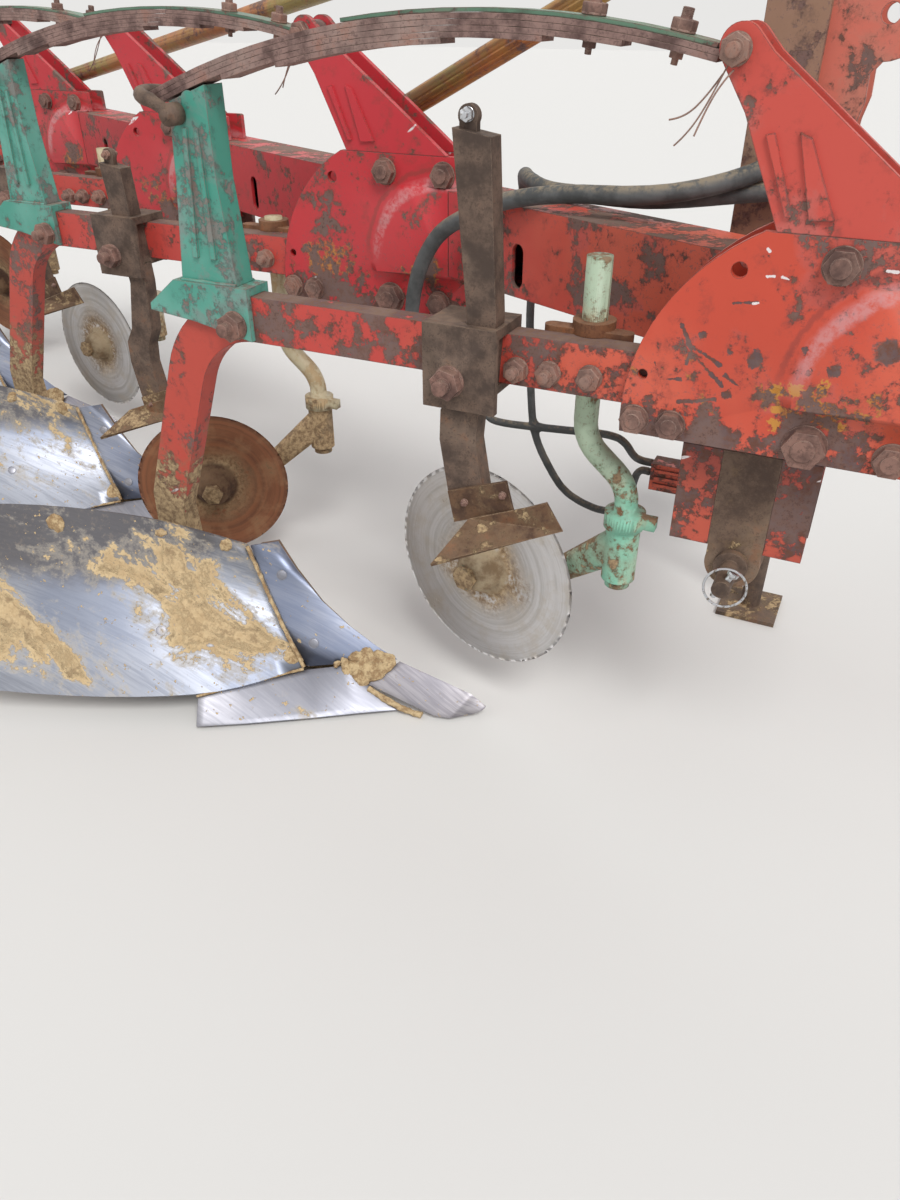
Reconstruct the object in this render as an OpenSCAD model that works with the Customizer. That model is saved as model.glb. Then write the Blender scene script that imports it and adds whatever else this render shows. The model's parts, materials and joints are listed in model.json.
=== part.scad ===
/* [Row of bodies] */
// Distance between two bodies along the line of travel
body_pitch = 850; // [820:5:920]
// Width cut by each body
cut_width = 406; // [390:1:430]

/* [Main frame] */
// Height of the slanting frame beam
frame_h = 150; // [140:1:160]
// Width of the slanting frame beam
frame_w = 110; // [90:1:130]
// Wall of the frame beam
frame_wall = 8; // [5:0.5:12]
// Height of the frame beam's underside above the ground
frame_z = 745; // [735:1:755]
// Length of frame beam ahead of the first body
frame_front = 260; // [240:1:320]
// Length of frame beam behind the last body
frame_rear = 330; // [300:1:400]

/* [Headstock] */
// Width of the box across the headstock
cross_w = 150; // [120:1:160]
// Height of the box across the headstock
cross_h = 110; // [90:1:120]
// Distance between the two lower hitch pins, shoulder to shoulder
hitch_span = 825; // [760:1:870]
// Radius of a lower hitch pin
hitch_pin_r = 14; // [12:0.25:16]
// Height of the lower hitch pins above the ground
hitch_z = 449; // [430:1:470]
// Length of a lower hitch pin outside its shoulder
hitch_pin_len = 70; // [62:1:90]
// Height of the top link hole above the ground
top_link_z = 1170; // [1140:1:1200]
// Radius of the top link hole
top_link_r = 13; // [11:0.25:15]
// Thickness of the mast plates
mast_t = 12; // [10:0.5:14]
// Height of the mast's top above the ground
mast_top_z = 1470; // [1440:1:1500]
// Radius of the mast stays
stay_r = 22; // [18:0.5:26]

/* [Body head] */
// Thickness of the head plates and spring arms
head_t = 12; // [10:0.5:14]
// Gap between the two head plates of a body
head_gap = 48; // [46:0.5:52]
// Radius of the head plate's rounded rear edge
head_r = 289; // [280:1:300]
// Radius of the pressed arch on a head plate
arch_r = 164; // [150:1:175]
// Depth of the pressed arch
arch_depth = 12; // [8:0.5:14]
// Radius of the beam's pivot pin
pivot_r = 15; // [13:0.5:18]

/* [Trip spring] */
// Radius of the spring's upper curve
spring_curve = 1450; // [1400:10:1520]
// Width of the spring leaves
leaf_w = 45; // [40:0.5:46]
// Thickness of one leaf
leaf_t = 6.5; // [5:0.5:7.5]
// Thickness of the plate that clamps the leaves
clamp_plate_t = 5; // [4:0.5:8]
// Radius of the pin at the front of the spring
spring_pin_r = 11; // [10:0.5:14]

/* [Body beam and leg] */
// Height of the beam bar
bar_h = 76; // [70:1:80]
// Thickness of the beam bar and the leg
bar_t = 40; // [34:1:44]
// Radius at the outside of the leg's bend
leg_bend = 215; // [200:1:230]
// Length of the leg's straight part
leg_run = 300; // [280:1:320]

/* [Ploughing body] */
// Thickness of mouldboard, shin and share
board_t = 9; // [7:0.5:11]
// Hollow of the mouldboard at its front
board_hollow = 38; // [25:1:50]
// Thickness of the landside bar
landside_t = 12; // [10:0.5:14]
// Height of the landside bar
landside_h = 115; // [95:1:130]

/* [Disc coulter] */
// Radius of the coulter's round stem
stem_r = 19; // [17:0.5:21]
// Radius of the spindle below the stem
spindle_r = 15; // [13:0.25:16]
// Length of the coulter arm
coulter_reach = 267; // [255:1:275]
// Radius of the disc's axle
axle_r = 14; // [12:0.25:16]
// Thickness of the disc
disc_t = 4; // [3:0.25:6]

/* [Skimmer] */
// Width of the skimmer's shank
shank_w = 52; // [46:1:60]
// Thickness of the skimmer's shank
shank_t = 34; // [26:0.5:38]

/* [Parking stand] */
// Radius of the stand's leg
stand_r = 22; // [18:0.5:26]
// Width of the stand's foot
stand_foot = 130; // [110:1:160]

/* [Hidden] */

// Running and seating clearances
seat = 0.3;
run = 0.05;
bodies = 4;

// Columns of the setting table, one row for each body from the front:
// coulter turn in degrees, drop of its stem, disc radius, skimmer place, skimmer drop,
// place of the skimmer's blade along its shank's foot
TURN = 0;
DROP = 1;
DISC_R = 2;
SKIM_X = 3;
SKIM_DROP = 4;
BLADE_X = 5;
settings = [
    [15, 0, 200, -486, 0, 0],
    [-34, 83, 175, -672, 150, -80],
    [10, 40, 195, -590, 60, 0],
    [3, 20, 190, -570, 40, 0],
];

// The whole plough is drawn from the first body's head bolt, then moved so that the
// origin is under the middle of its box
mid_x = -2018;
mid_y = 424.745;

// Slanting frame beam: angle of the row, and where its right face crosses the first body
row_angle = atan(cut_width / body_pitch);
row_step = sqrt(cut_width * cut_width + body_pitch * body_pitch);
face_x = 38;
frame_top = frame_z + frame_h;
frame_len = frame_front + (bodies - 1) * row_step + frame_rear;

// Headstock
cross_x = -140;
cross_top = frame_z - seat;
cross_z = cross_top - cross_h;
hitch_x = -64;
hitch_mid_y = 430;
hitch_right = hitch_mid_y - hitch_span / 2;
hitch_left = hitch_mid_y + hitch_span / 2;
hanger_t = 22;
hanger_bars = [[-166, -106], [-22, 34]];
hitch_block = [-105.7, -22.3];
mast_x = -196;
mast_w = 88;
mast_y = 405;
mast_gap = 104;
top_link_x = -30;

// Head plates
head_in = head_gap / 2;
head_out = head_in + head_t;
head_centre = [39, 694];
head_low = 664;
head_high = 950;
head_nose = 178;
arch_centre = [122, 764];
pivot = [5, 688];
upper_bolt = [0, 919];
front_upper_bolt = [122, 919];
front_lower_bolt = [112, 688];
head_bolt_r = 12;
rear_bolt_r = 11;
rear_bolts = [[-228, 686], [-176, 686]];

// Spring
spring_centre = [-500, 1172 - spring_curve];
leaf_gap = 0.4;
leaf_step = leaf_t + leaf_gap;
leaf_ends = [[-1036, -159], [-1031, -184], [-1022, -300], [-899, -402], [-802, -541]];
eye_wall = 8;
spring_pin = [-162, spring_centre[1] + sqrt(pow(spring_curve, 2) - pow(338, 2)) + 6];
stirrup_pin = [-987, 1041];
stirrup_back = [-1025, 1059];
stirrup_y = 38;
stirrup_r = 11;
stirrup_pin_r = 8;
strut_x = -965;

// Beam and leg
bar_mid = bar_t / 2;
bar_low = 700;
bar_top = bar_low + bar_h;
bar_rear = -893;
bend_angle = 70;
bend_centre = [bar_rear, bar_top - leg_bend];
leg_dir = [-sin(20), -cos(20)];
leg_out = bend_centre + leg_bend * [cos(90 + bend_angle), sin(90 + bend_angle)];
leg_in = bend_centre + (leg_bend - bar_h) * [cos(90 + bend_angle), sin(90 + bend_angle)];
foot_out = leg_out + leg_run * leg_dir;
foot_in = leg_in + leg_run * leg_dir;
foot_z = 236;

// Saddle and strut
cheek_in = bar_mid + seat;
cheek_t = 10;
cheek_out = cheek_in + cheek_t;
saddle_in = bar_top + seat;
saddle_top = saddle_in + 14;
saddle_bolt = [-925, 728];
strut_half = 22;
strut_wall = 7;
strut_pad_r = 14;
strut_pad = [strut_x,
    spring_centre[1] + sqrt(pow(spring_curve - 3 * leaf_step - strut_pad_r - seat + leaf_gap, 2)
    - pow(strut_x - spring_centre[0], 2))];
// Height of the leaves' underside over the strut, and the strut's clearance below it
function leaf_under(x) =
    spring_centre[1] + sqrt(pow(spring_curve - 3 * leaf_step + leaf_gap, 2) - pow(x - spring_centre[0], 2));
strut_front = [-932, leaf_under(-932) - 3.87127];
strut_back = [-1003, leaf_under(-1003) - 3.79484];

// Coulter
stem_x = -322;
stem_y = bar_mid + stem_r + 2.5;
crank_angle = 50;
crank_r = 70;
crank_run = 38;
crank_shift = 2 * crank_r * (1 - cos(crank_angle)) + crank_run * sin(crank_angle);
crank_fall = 2 * crank_r * sin(crank_angle) + crank_run * cos(crank_angle);
swivel_x = stem_x + crank_shift;
stem_top = 885;
crank_top = 640;
collar_z = 470;
sleeve_low = 372;
sleeve_high = collar_z - 0.5;
sleeve_r = 28;
axle_z = 299;
disc_side = 30;

// Skimmer
shank_mid_y = -(bar_mid + seat + shank_t / 2);
shank_front = -(bar_mid + seat + shank_t + seat);
clamp_t = 14;
clamp_w = 118;
clamp_low = 664;
clamp_high = 792;

// Stand
stand_at = [-65, 640];
stand_low = 10;
stand_high = 930;

function unit_at(k) = [-k * body_pitch, k * cut_width, 0];
function arc(c, r, a, b, n) =
    [for (i = [0 : n]) c + r * [cos(a + (b - a) * i / n), sin(a + (b - a) * i / n)]];
function cross3(a, b) = [a[1] * b[2] - a[2] * b[1], a[2] * b[0] - a[0] * b[2], a[0] * b[1] - a[1] * b[0]];
function unit3(v) = v / norm(v);
function mix(a, b, t) = a + (b - a) * t;

// A point of a smooth curve through four points
function through(p, t) =
    let (n = len(p) - 1, s = t * n, i = min(floor(s), n - 1), f = s - i,
        a = p[max(i - 1, 0)], b = p[i], c = p[i + 1], d = p[min(i + 2, n)])
    0.5 * (2 * b + (c - a) * f + (2 * a - 5 * b + 4 * c - d) * f * f + (3 * b - a - 3 * c + d) * f * f
        * f);

// An outline drawn in the X-Z plane and given a thickness from y0 to y1
module slab(y0, y1) {
    translate([0, y1, 0])
        rotate([90, 0, 0])
            linear_extrude(y1 - y0)
                children();
}

// A round bar along Y through the point p of the X-Z plane
module rod(p, r, y0, y1) {
    translate([p[0], y1, p[1]])
        rotate([90, 0, 0])
            cylinder(h = y1 - y0, r = r, $fn = 48);
}

// A round bar between two points
module bar(a, b, r) {
    d = b - a;
    translate(a)
        rotate([0, acos(d[2] / norm(d)), atan2(d[1], d[0])])
            cylinder(h = norm(d), r = r, $fn = 48);
}

// The same thing for every body of the row
module row() {
    for (k = [0 : bodies - 1]) {
        $body = k;
        translate(unit_at(k)) children();
    }
}

// The same thing on both sides of a body's middle plane
module both() {
    children();
    mirror([0, 1, 0]) children();
}

// Moves the plough so that its origin is under the middle of its box
module placed() {
    translate([-mid_x, -mid_y, 0]) children();
}

// Keeps what is above the ground
module above_ground() {
    intersection() {
        children();
        translate([-1400, -400, 0]) cube([1000, 500, 200]);
    }
}

// A sheet of thickness t behind a grid of points, set back by s
function grid_normal(g, i, j) =
    let (m = len(g) - 1, n = len(g[0]) - 1,
        du = g[min(i + 1, m)][j] - g[max(i - 1, 0)][j],
        dv = g[i][min(j + 1, n)] - g[i][max(j - 1, 0)])
    unit3(cross3(dv, du));
function set_back(g, s) =
    [for (i = [0 : len(g) - 1]) [for (j = [0 : len(g[0]) - 1]) g[i][j] - s * grid_normal(g, i, j)]];

module sheet(g, t, s = 0) {
    shell(set_back(g, s), set_back(g, s + t));
}

// Part of a sheet: rows i0 to i1 and columns j0 to j1 of its grid
module part_sheet(g, t, s, i0, i1, j0, j1) {
    face = set_back(g, s);
    back = set_back(g, s + t);
    shell([for (i = [i0 : i1]) [for (j = [j0 : j1]) face[i][j]]],
        [for (i = [i0 : i1]) [for (j = [j0 : j1]) back[i][j]]]);
}

// A closed body between two grids of points
module shell(face, back) {
    m = len(face);
    n = len(face[0]);
    points = concat([for (r = face) each r], [for (r = back) each r]);
    q = m * n;
    function f(i, j) = i * n + j;
    function quad(a, b, c, d) = [[a, b, c], [a, c, d]];
    fronts = [for (i = [0 : m - 2]) for (j = [0 : n - 2])
        each quad(f(i, j), f(i + 1, j), f(i + 1, j + 1), f(i, j + 1))];
    backs = [for (t = fronts) [t[2] + q, t[1] + q, t[0] + q]];
    side_a = [for (i = [0 : m - 2]) each quad(f(i + 1, 0), f(i, 0), f(i, 0) + q, f(i + 1, 0) + q)];
    side_b = [for (i = [0 : m - 2]) each quad(f(i, n - 1), f(i + 1, n - 1), f(i + 1, n - 1) + q, f(i,
        n - 1) + q)];
    side_c = [for (j = [0 : n - 2]) each quad(f(0, j), f(0, j + 1), f(0, j + 1) + q, f(0, j) + q)];
    side_d = [for (j = [0 : n - 2]) each quad(f(m - 1, j + 1), f(m - 1, j), f(m - 1, j) + q, f(m - 1,
        j + 1) + q)];
    polyhedron(points, concat(fronts, backs, side_a, side_b, side_c, side_d), convexity = 6);
}

// The box of the frame beam, grown all round by g
module frame_box(g = 0) {
    translate([face_x, 0, 0])
        rotate(180 - row_angle)
            translate([-frame_front - g, -frame_w - g, frame_z - g])
                cube([frame_len + 2 * g, frame_w + 2 * g, frame_h + 2 * g]);
}

module frame_beam() {
    color("firebrick")
        placed()
            difference() {
                frame_box();
                frame_box(-frame_wall);
                // A slot for the hoses in the right face, ahead of each body but the last
                for (k = [0 : bodies - 2])
                    translate([face_x, 0, 0])
                        rotate(180 - row_angle)
                            translate([k * row_step + 640, 1, frame_z + 30])
                                rotate([90, 0, 0])
                                    linear_extrude(frame_wall + 2)
                                        union() {
                                            translate([-14, 0]) square([28, 46]);
                                            circle(14);
                                            translate([0, 46]) circle(14);
                                        }
            }
}

module cross_beam() {
    color("firebrick")
        placed()
            difference() {
                translate([cross_x, head_out + 24, cross_z])
                    cube([cross_w, hitch_left - head_out, cross_h]);
                translate([cross_x + frame_wall, head_out + 24 - 1, cross_z + frame_wall])
                    cube([cross_w - 2 * frame_wall, hitch_left - head_out + 2, cross_h - 2 * frame_wall]);
                translate([stand_at[0], stand_at[1], cross_z - 1])
                    cylinder(h = cross_h + 2, r = stand_r + run, $fn = 64);
            }
}

// Two bars below the cross beam on each side of a hitch pin's block
module hanger(y) {
    for (b = hanger_bars)
        translate([b[0], y, hitch_z + 26]) cube([b[1] - b[0], hanger_t, cross_z - seat - hitch_z - 26]);
}

module hitch_brackets() {
    color("firebrick")
        placed()
            union() {
                for (y = [hitch_right + 14, hitch_right + 100, hitch_left - 100 - hanger_t,
                    hitch_left - 14 - hanger_t])
                    hanger(y);
                // Carrier for the hoses' coupling block, under the cross beam
                translate([-138, 284, 430]) cube([10, 36, cross_z - seat - 430]);
                translate([-262, 282, 424]) cube([126, 40, 52]);
                for (z = [432, 446, 460])
                    translate([-255, 279, z]) cube([96, 46, 7]);
            }
}

// Blocks that carry the hitch pins, rounded below and waisted above the pin
module hitch_blocks() {
    color("sienna")
        placed()
            for (y = [hitch_right + 14, hitch_left - 122])
                slab(y, y + 108)
                    difference() {
                        union() {
                            translate([hitch_block[0], hitch_z + 26])
                                square([hitch_block[1] - hitch_block[0], cross_z - seat - hitch_z - 26]);
                            translate([hitch_x, hitch_z]) circle(42, $fn = 96);
                            translate([hitch_x - 41, hitch_z]) square([82, 40]);
                        }
                        translate([hitch_x, hitch_z]) circle(hitch_pin_r + seat, $fn = 64);
                    }
}

module hitch_pins() {
    color("dimgray")
        placed()
            for (side = [0, 1])
                translate([0, side == 0 ? hitch_right : hitch_left, 0])
                    mirror([0, side, 0]) {
                        rod([hitch_x, hitch_z], hitch_pin_r, -hitch_pin_len, 130);
                        rod([hitch_x, hitch_z], hitch_pin_r + 12, 0, 13);
                    }
}

module mast_posts() {
    color("rosybrown")
        placed()
            for (side = [-1, 1])
                translate([mast_x,
                    mast_y + side * (mast_gap / 2 + mast_t + seat) - (side < 0 ? mast_t + 4 : 0),
                    frame_z])
                    cube([mast_w, mast_t + 4, mast_top_z - frame_z]);
}

module mast_plates() {
    color("indianred")
        placed()
            for (side = [0, 1])
                translate([0, side == 0 ? mast_y - mast_gap / 2 - mast_t : mast_y + mast_gap / 2, 0])
                    slab(0, mast_t)
                        difference() {
                            polygon(concat(
                                [[-150, frame_z], [-52, frame_z], [-46, 1030], [-39, 1062], [-41, 1098]],
                                arc([top_link_x, top_link_z], 58, -90, 60, 12),
                                [[-18, 1296], [-34, 1326], [-66, 1346], [-100, mast_top_z - 20],
                                    [-150, mast_top_z - 20]]));
                            translate([top_link_x, top_link_z]) circle(top_link_r, $fn = 48);
                            translate([top_link_x - 30, top_link_z + 118]) circle(top_link_r, $fn = 48);
                        }
}

stay_lug_h = 62;
// Columns: foot of the stay on the frame beam, then its head on the mast
stays = [
    [[-1000, 557, frame_top + seat], [-140, 379, 1362]],
    [[-2690, 1366, frame_top + seat], [-140, 424, 1398]],
];

module mast_stays() {
    color("peru")
        placed() {
            for (s = stays) {
                bar(s[1], s[0] + [0, 0, stay_lug_h], stay_r);
                translate(s[0] - [40, 13, 0]) cube([80, 26, stay_lug_h + 16]);
                translate(s[0] - [50, 30, 0]) cube([100, 60, 14]);
            }
            rod([-140, 1380], 15, mast_y - mast_gap / 2 + seat, mast_y + mast_gap / 2 - seat);
        }
}

// One head plate, seen from the furrow side
module head_outline() {
    intersection() {
        translate(head_centre) circle(head_r, $fn = 180);
        translate([-400, head_low]) square([400 + head_nose, head_high - head_low]);
    }
}

module head_holes() {
    for (p = [upper_bolt, front_upper_bolt, front_lower_bolt])
        translate(p) circle(head_bolt_r + seat, $fn = 48);
    translate(pivot) circle(pivot_r + seat, $fn = 48);
    for (p = rear_bolts)
        translate(p) circle(rear_bolt_r + seat, $fn = 48);
    translate([-118, 902]) circle(10, $fn = 48);
    translate([-224, 752]) circle(7, $fn = 48);
}

module head_plates() {
    color("orangered")
        placed()
            difference() {
                row()
                    both()
                        difference() {
                            union() {
                                slab(head_in, head_out) head_outline();
                                intersection() {
                                    translate([arch_centre[0], head_out - 1, arch_centre[1]])
                                        rotate([-90, 0, 0])
                                            cylinder(h = arch_depth + 1, r1 = arch_r, r2 = arch_r - 18,
                                                $fn = 120);
                                    slab(head_in, head_out + 40)
                                        translate([-200, head_low + 74]) square([200 + head_nose - 8,
                                            160]);
                                }
                            }
                            slab(head_in - 1, head_out + 40) head_holes();
                        }
                frame_box(seat);
            }
}

module spring_arms() {
    color("orangered")
        placed()
            row()
                both() {
                    // Ribs pressed into the arm's outer face, one long and one short
                    slab(head_out - 1, head_out + 4)
                        polygon([[-76, 1058], [-62, 1052], [-20, 968], [-48, 966]]);
                    slab(head_out - 1, head_out + 4)
                        polygon([[-114, 1054], [-104, 1056], [-68, 968], [-76, 968]]);
                    slab(head_in, head_out)
                        difference() {
                            polygon(concat(
                                [[-82, head_high + seat], [-142, 1075], [-167, 1112]],
                                arc(spring_pin + [4, 3], 24, 205, 45, 12),
                                [[-120, 1136], [39, 1018], [128, head_high + seat]]));
                            translate(spring_pin) circle(spring_pin_r + seat, $fn = 48);
                        }
                }
}

// Hexagonal head or nut with its axis along Y
module hex_y(p, r, y0, y1) {
    translate([p[0], y1, p[1]])
        rotate([90, 0, 0])
            cylinder(h = y1 - y0, r = r, $fn = 6);
}

module head_bolts() {
    color("saddlebrown")
        placed()
            row() {
                for (p = [upper_bolt, front_upper_bolt, front_lower_bolt]) {
                    rod(p, head_bolt_r, -head_out - 19, head_out + 22);
                    both() hex_y(p, 22, head_out + seat, head_out + 15);
                }
                rod(pivot, pivot_r, -head_out - 22, head_out + 22);
                both() hex_y(pivot, 28, head_out + seat, head_out + 20);
                for (p = rear_bolts) {
                    rod(p, rear_bolt_r, -head_out - 14, head_out + 14);
                    both() hex_y(p, 20, head_out + seat, head_out + 13);
                }
            }
}

module body_beams() {
    color("brown")
        placed()
            row()
                slab(-bar_mid, bar_mid)
                    difference() {
                        union() {
                            translate([bar_rear, bar_low]) square([-70 - bar_rear, bar_h]);
                            polygon([[-70, bar_top], [-45, bar_low + 36], [5, pivot[1] + 36], [5,
                                pivot[1] - 36], [-110, bar_low], [-110, bar_top]]);
                            translate(pivot) circle(36, $fn = 64);
                        }
                        translate(pivot) circle(pivot_r + seat, $fn = 48);
                    }
}

// One leaf as a ring sector between two places along X
module leaf(r, t, w, x0, x1) {
    a0 = asin((x0 - spring_centre[0]) / r);
    a1 = asin((x1 - spring_centre[0]) / r);
    translate([spring_centre[0], 0, spring_centre[1]])
        rotate([90, 0, 0])
            rotate(90 - a1)
                rotate_extrude(angle = a1 - a0, $fn = 360)
                    translate([r - t, -w / 2]) square([t, w]);
}

// The top leaf with the eye rolled at its front end, as one profile
module eye_leaf() {
    difference() {
        union() {
            intersection() {
                translate(spring_centre)
                    difference() {
                        circle(spring_curve, $fn = 720);
                        circle(spring_curve - leaf_t, $fn = 720);
                    }
                translate([leaf_ends[0][0], spring_pin[1] - 200])
                    square([leaf_ends[0][1] - leaf_ends[0][0], 400]);
            }
            translate(spring_pin) circle(spring_pin_r + seat + eye_wall, $fn = 64);
        }
        translate(spring_pin) circle(spring_pin_r + seat, $fn = 64);
    }
}

module leaf_springs() {
    color("rosybrown")
        placed()
            row() {
                slab(-leaf_w / 2, leaf_w / 2) eye_leaf();
                for (i = [1 : len(leaf_ends) - 1])
                    leaf(spring_curve - i * leaf_step, leaf_t, leaf_w, leaf_ends[i][0],
                        leaf_ends[i][1]);
            }
}

module spring_plates() {
    color("darkolivegreen")
        placed()
            row()
                leaf(spring_curve + leaf_gap + clamp_plate_t, clamp_plate_t, leaf_w, -690, -186);
}

module spring_pins() {
    color("dimgray")
        placed()
            row() {
                rod(spring_pin, spring_pin_r, -head_out - 16, head_out + 16);
            }
}

// A stirrup of round bar, pinned to the strut, holds the rear ends of the leaves
stirrup_line = concat(
    [[stirrup_pin[0], -stirrup_y, stirrup_pin[1]]],
    [for (i = [0 : 12])
        [stirrup_back[0] - stirrup_y * sin(15 * i), -stirrup_y * cos(15 * i),
            stirrup_back[1] + 7 * sin(15 * i)]],
    [[stirrup_pin[0], stirrup_y, stirrup_pin[1]]]);

module spring_shackles() {
    color("saddlebrown")
        placed()
            row() {
                rod(stirrup_pin, stirrup_pin_r, -stirrup_y - 17, stirrup_y + 17);
                both() rod(stirrup_pin, 16, strut_half + 3, stirrup_y + 11);
                pipe(stirrup_line, stirrup_r, 12);
            }
}

function strut_edge(g) = [[-1031 + g, saddle_top + seat], [-917 - g, saddle_top + seat], [-932 - g, 950],
    strut_front - [g, g], strut_back + [g, -g], [-1012 + g, 947]];

module spring_struts() {
    color("cadetblue")
        placed()
            row()
                difference() {
                    union() {
                        difference() {
                            slab(-strut_half, strut_half) polygon(strut_edge(0));
                            slab(-strut_half + strut_wall,
                                strut_half + 1) polygon(strut_edge(strut_wall));
                        }
                        rod(strut_pad, strut_pad_r, -strut_half, strut_half);
                        // Two ribs pressed along the strut's face
                        for (s = [0.34, 0.66])
                            slab(-strut_half - 5, -strut_half + 1)
                                polygon([
                                    [mix(-1031, -917, s) - 5, saddle_top + 40], [mix(-1031, -917,
                                        s) + 5, saddle_top + 40],
                                    [mix(-1000, -932, s) + 4, 1022], [mix(-1000, -932, s) - 4, 1022]]);
                    }
                    rod(stirrup_pin, stirrup_pin_r + seat, -strut_half - 6, strut_half + 6);
                }
}

module strut_saddles() {
    color("cadetblue")
        placed()
            row()
                difference() {
                    union() {
                        both()
                            slab(cheek_in, cheek_out)
                                polygon([[-894, saddle_top], [-894, 703], [-950, 713], [-1012, 724],
                                    [-1105, 733],
                                    [-1104, 745], [-1045, saddle_top]]);
                        translate([-1045, -cheek_in, saddle_in]) cube([151, 2 * cheek_in,
                            saddle_top - saddle_in]);
                    }
                    rod(saddle_bolt, rear_bolt_r + seat, -cheek_out - 1, cheek_out + 1);
                }
}

module legs() {
    color("orangered")
        placed()
            row() {
                difference() {
                    slab(-bar_mid, bar_mid)
                        polygon(concat(
                            [[bar_rear - seat, bar_low], [bar_rear - seat, bar_top]],
                            arc(bend_centre, leg_bend, 92, 90 + bend_angle, 12),
                            [foot_out, [foot_out[0] - 4, foot_z], [foot_in[0] + 6, foot_z], foot_in],
                            arc(bend_centre, leg_bend - bar_h, 90 + bend_angle, 92, 12)));
                    rod(saddle_bolt, rear_bolt_r + seat, -bar_mid - 1, bar_mid + 1);
                }
                rod(saddle_bolt, rear_bolt_r, -cheek_out - 13, cheek_out + 13);
                both() hex_y(saddle_bolt, 20, cheek_out + seat, cheek_out + 13);
            }
}

// Edges of the ploughing body, each as a few points from front to rear or from foot to head
shin_edge = [[-656, 2, 88], [-745, 2, 126], [-842, 2, 195], [-918, 2, 292]];
joint_line = [[-822, -76, 68], [-872, -58, 128], [-922, -38, 205], [-968, -22, 284]];
board_low = [[-824, -78, 69], [-975, -232, 58], [-1310, -400, 72], [-1740, -590, 165]];
board_high = [[-970, -24, 282], [-1190, -118, 350], [-1450, -300, 395], [-1800, -610, 385]];
wing_tip = [-956, -268, 9];
wing_top = [-974, -230, 50];
share_top = [-822, -78, 62];
share_toe = [-606, -72, 9];
share_neck = [-704, -52, 24];

// The mouldboard's face: u runs from front to rear, v from foot to head
function board_point(u, v) =
    let (a = through(board_low, u), b = through(board_high, u), h = board_hollow * (1 - 0.75 * u))
    mix(a, b, v) + h * 4 * v * (1 - v) * [-0.25, 0.92, -0.3];
function board_grid(u0, u1, m, n) =
    [for (i = [0 : m]) [for (j = [0 : n]) board_point(mix(u0, u1, i / m), j / n)]];
shin_grid = [for (i = [0 : 3]) [for (j = [0 : 5])
    mix(through(shin_edge, j / 5), through(joint_line, j / 5) + [1, 1, 0], i / 3)]];
share_grid = [for (i = [0 : 4]) [mix(share_toe, wing_tip, i / 4), mix(share_neck,
    i < 2 ? share_top : share_top, i / 2)]];

board_faces = board_grid(0.012, 1, 18, 8);

module mouldboards() {
    color("silver")
        placed()
            row()
                sheet(board_faces, board_t);
}

module shins() {
    color("silver")
        placed()
            row()
                sheet(shin_grid, board_t);
}

// The share is a bevelled blade between its cutting edge and its back edge
module shares() {
    back = [share_neck, mix(share_neck, share_top, 0.5), share_top + [6, -4, -2], mix(share_top,
        wing_top, 0.5), wing_top];
    color("silver")
        placed()
            row()
                above_ground()
                    sheet([for (i = [0 : 4]) [mix(share_toe, wing_tip, i / 4), back[i] - [0, 0, 5]]],
                        board_t - 1);
}

point_grid = [
    [[-500, -60, 2], [-478, -20, 3], [-478, 2, 4]],
    [[-590, -66, 6], [-560, -28, 26], [-560, 2, 42]],
    [[-699, -50, 22], [-674, -24, 60], [-650, 2, 84]],
];

module points() {
    color("gainsboro")
        placed()
            row()
                above_ground()
                    sheet(point_grid, 13);
}

// The frog carries share, shin and board, and is bolted to the leg's foot
frog_in = -18;
frog_out = -2;
frog_nose = -658;
module frogs() {
    color("dimgray")
        placed()
            row() {
                slab(frog_in, frog_out)
                    polygon([[frog_nose, 14], [frog_nose, 38], [-760, 72], [-880, 104], [-960, 156],
                        [-1040, 214],
                        [-1130, foot_z - seat], [-1225, foot_z - seat], [-1260, 120], [-1300, 60],
                            [-1300, 14]]);
                translate([-1215, -34, foot_z - seat - 60]) cube([104, 68, 60]);
                // Seats behind the shin and the front of the board, with ribs to the web
                part_sheet(shin_grid, 13, board_t + seat, 0, 2, 1, 5);
                part_sheet(board_faces, 13, board_t + seat, 0, 6, 1, 7);
                for (x = [-1030, -1110])
                    translate([x, -72, 84]) cube([14, 66, 80]);
            }
}

module landsides() {
    color("slategray")
        placed()
            row()
                slab(frog_out + seat, frog_out + seat + landside_t)
                    polygon([[-735, 0], [-800, landside_h - 30], [-860, landside_h], [-1330,
                        landside_h], [-1340, 0]]);
}

// Stays from the frog to the back of the mouldboard
module board_stays() {
    color("dimgray")
        placed()
            row() {
                bar([-1230, frog_in - 8, 150], board_point(0.72, 0.5) + [-14, 20, -8], 12);
            }
}

// Outline of the skimmer's shank, larger by g along X
function shank_outline(g) =
    [[-23 - g, 1046], [shank_w - 19 + g, 1037], [shank_w - 5 + g, 802], [40 + g, 690],
    [22 + g, 655], [18 + g, 610], [34 + g, 520], [-28 - g, 510], [-44 - g, 605], [-42 - g, 655],
        [-20 - g, 690], [2 - g, 796]];

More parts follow.
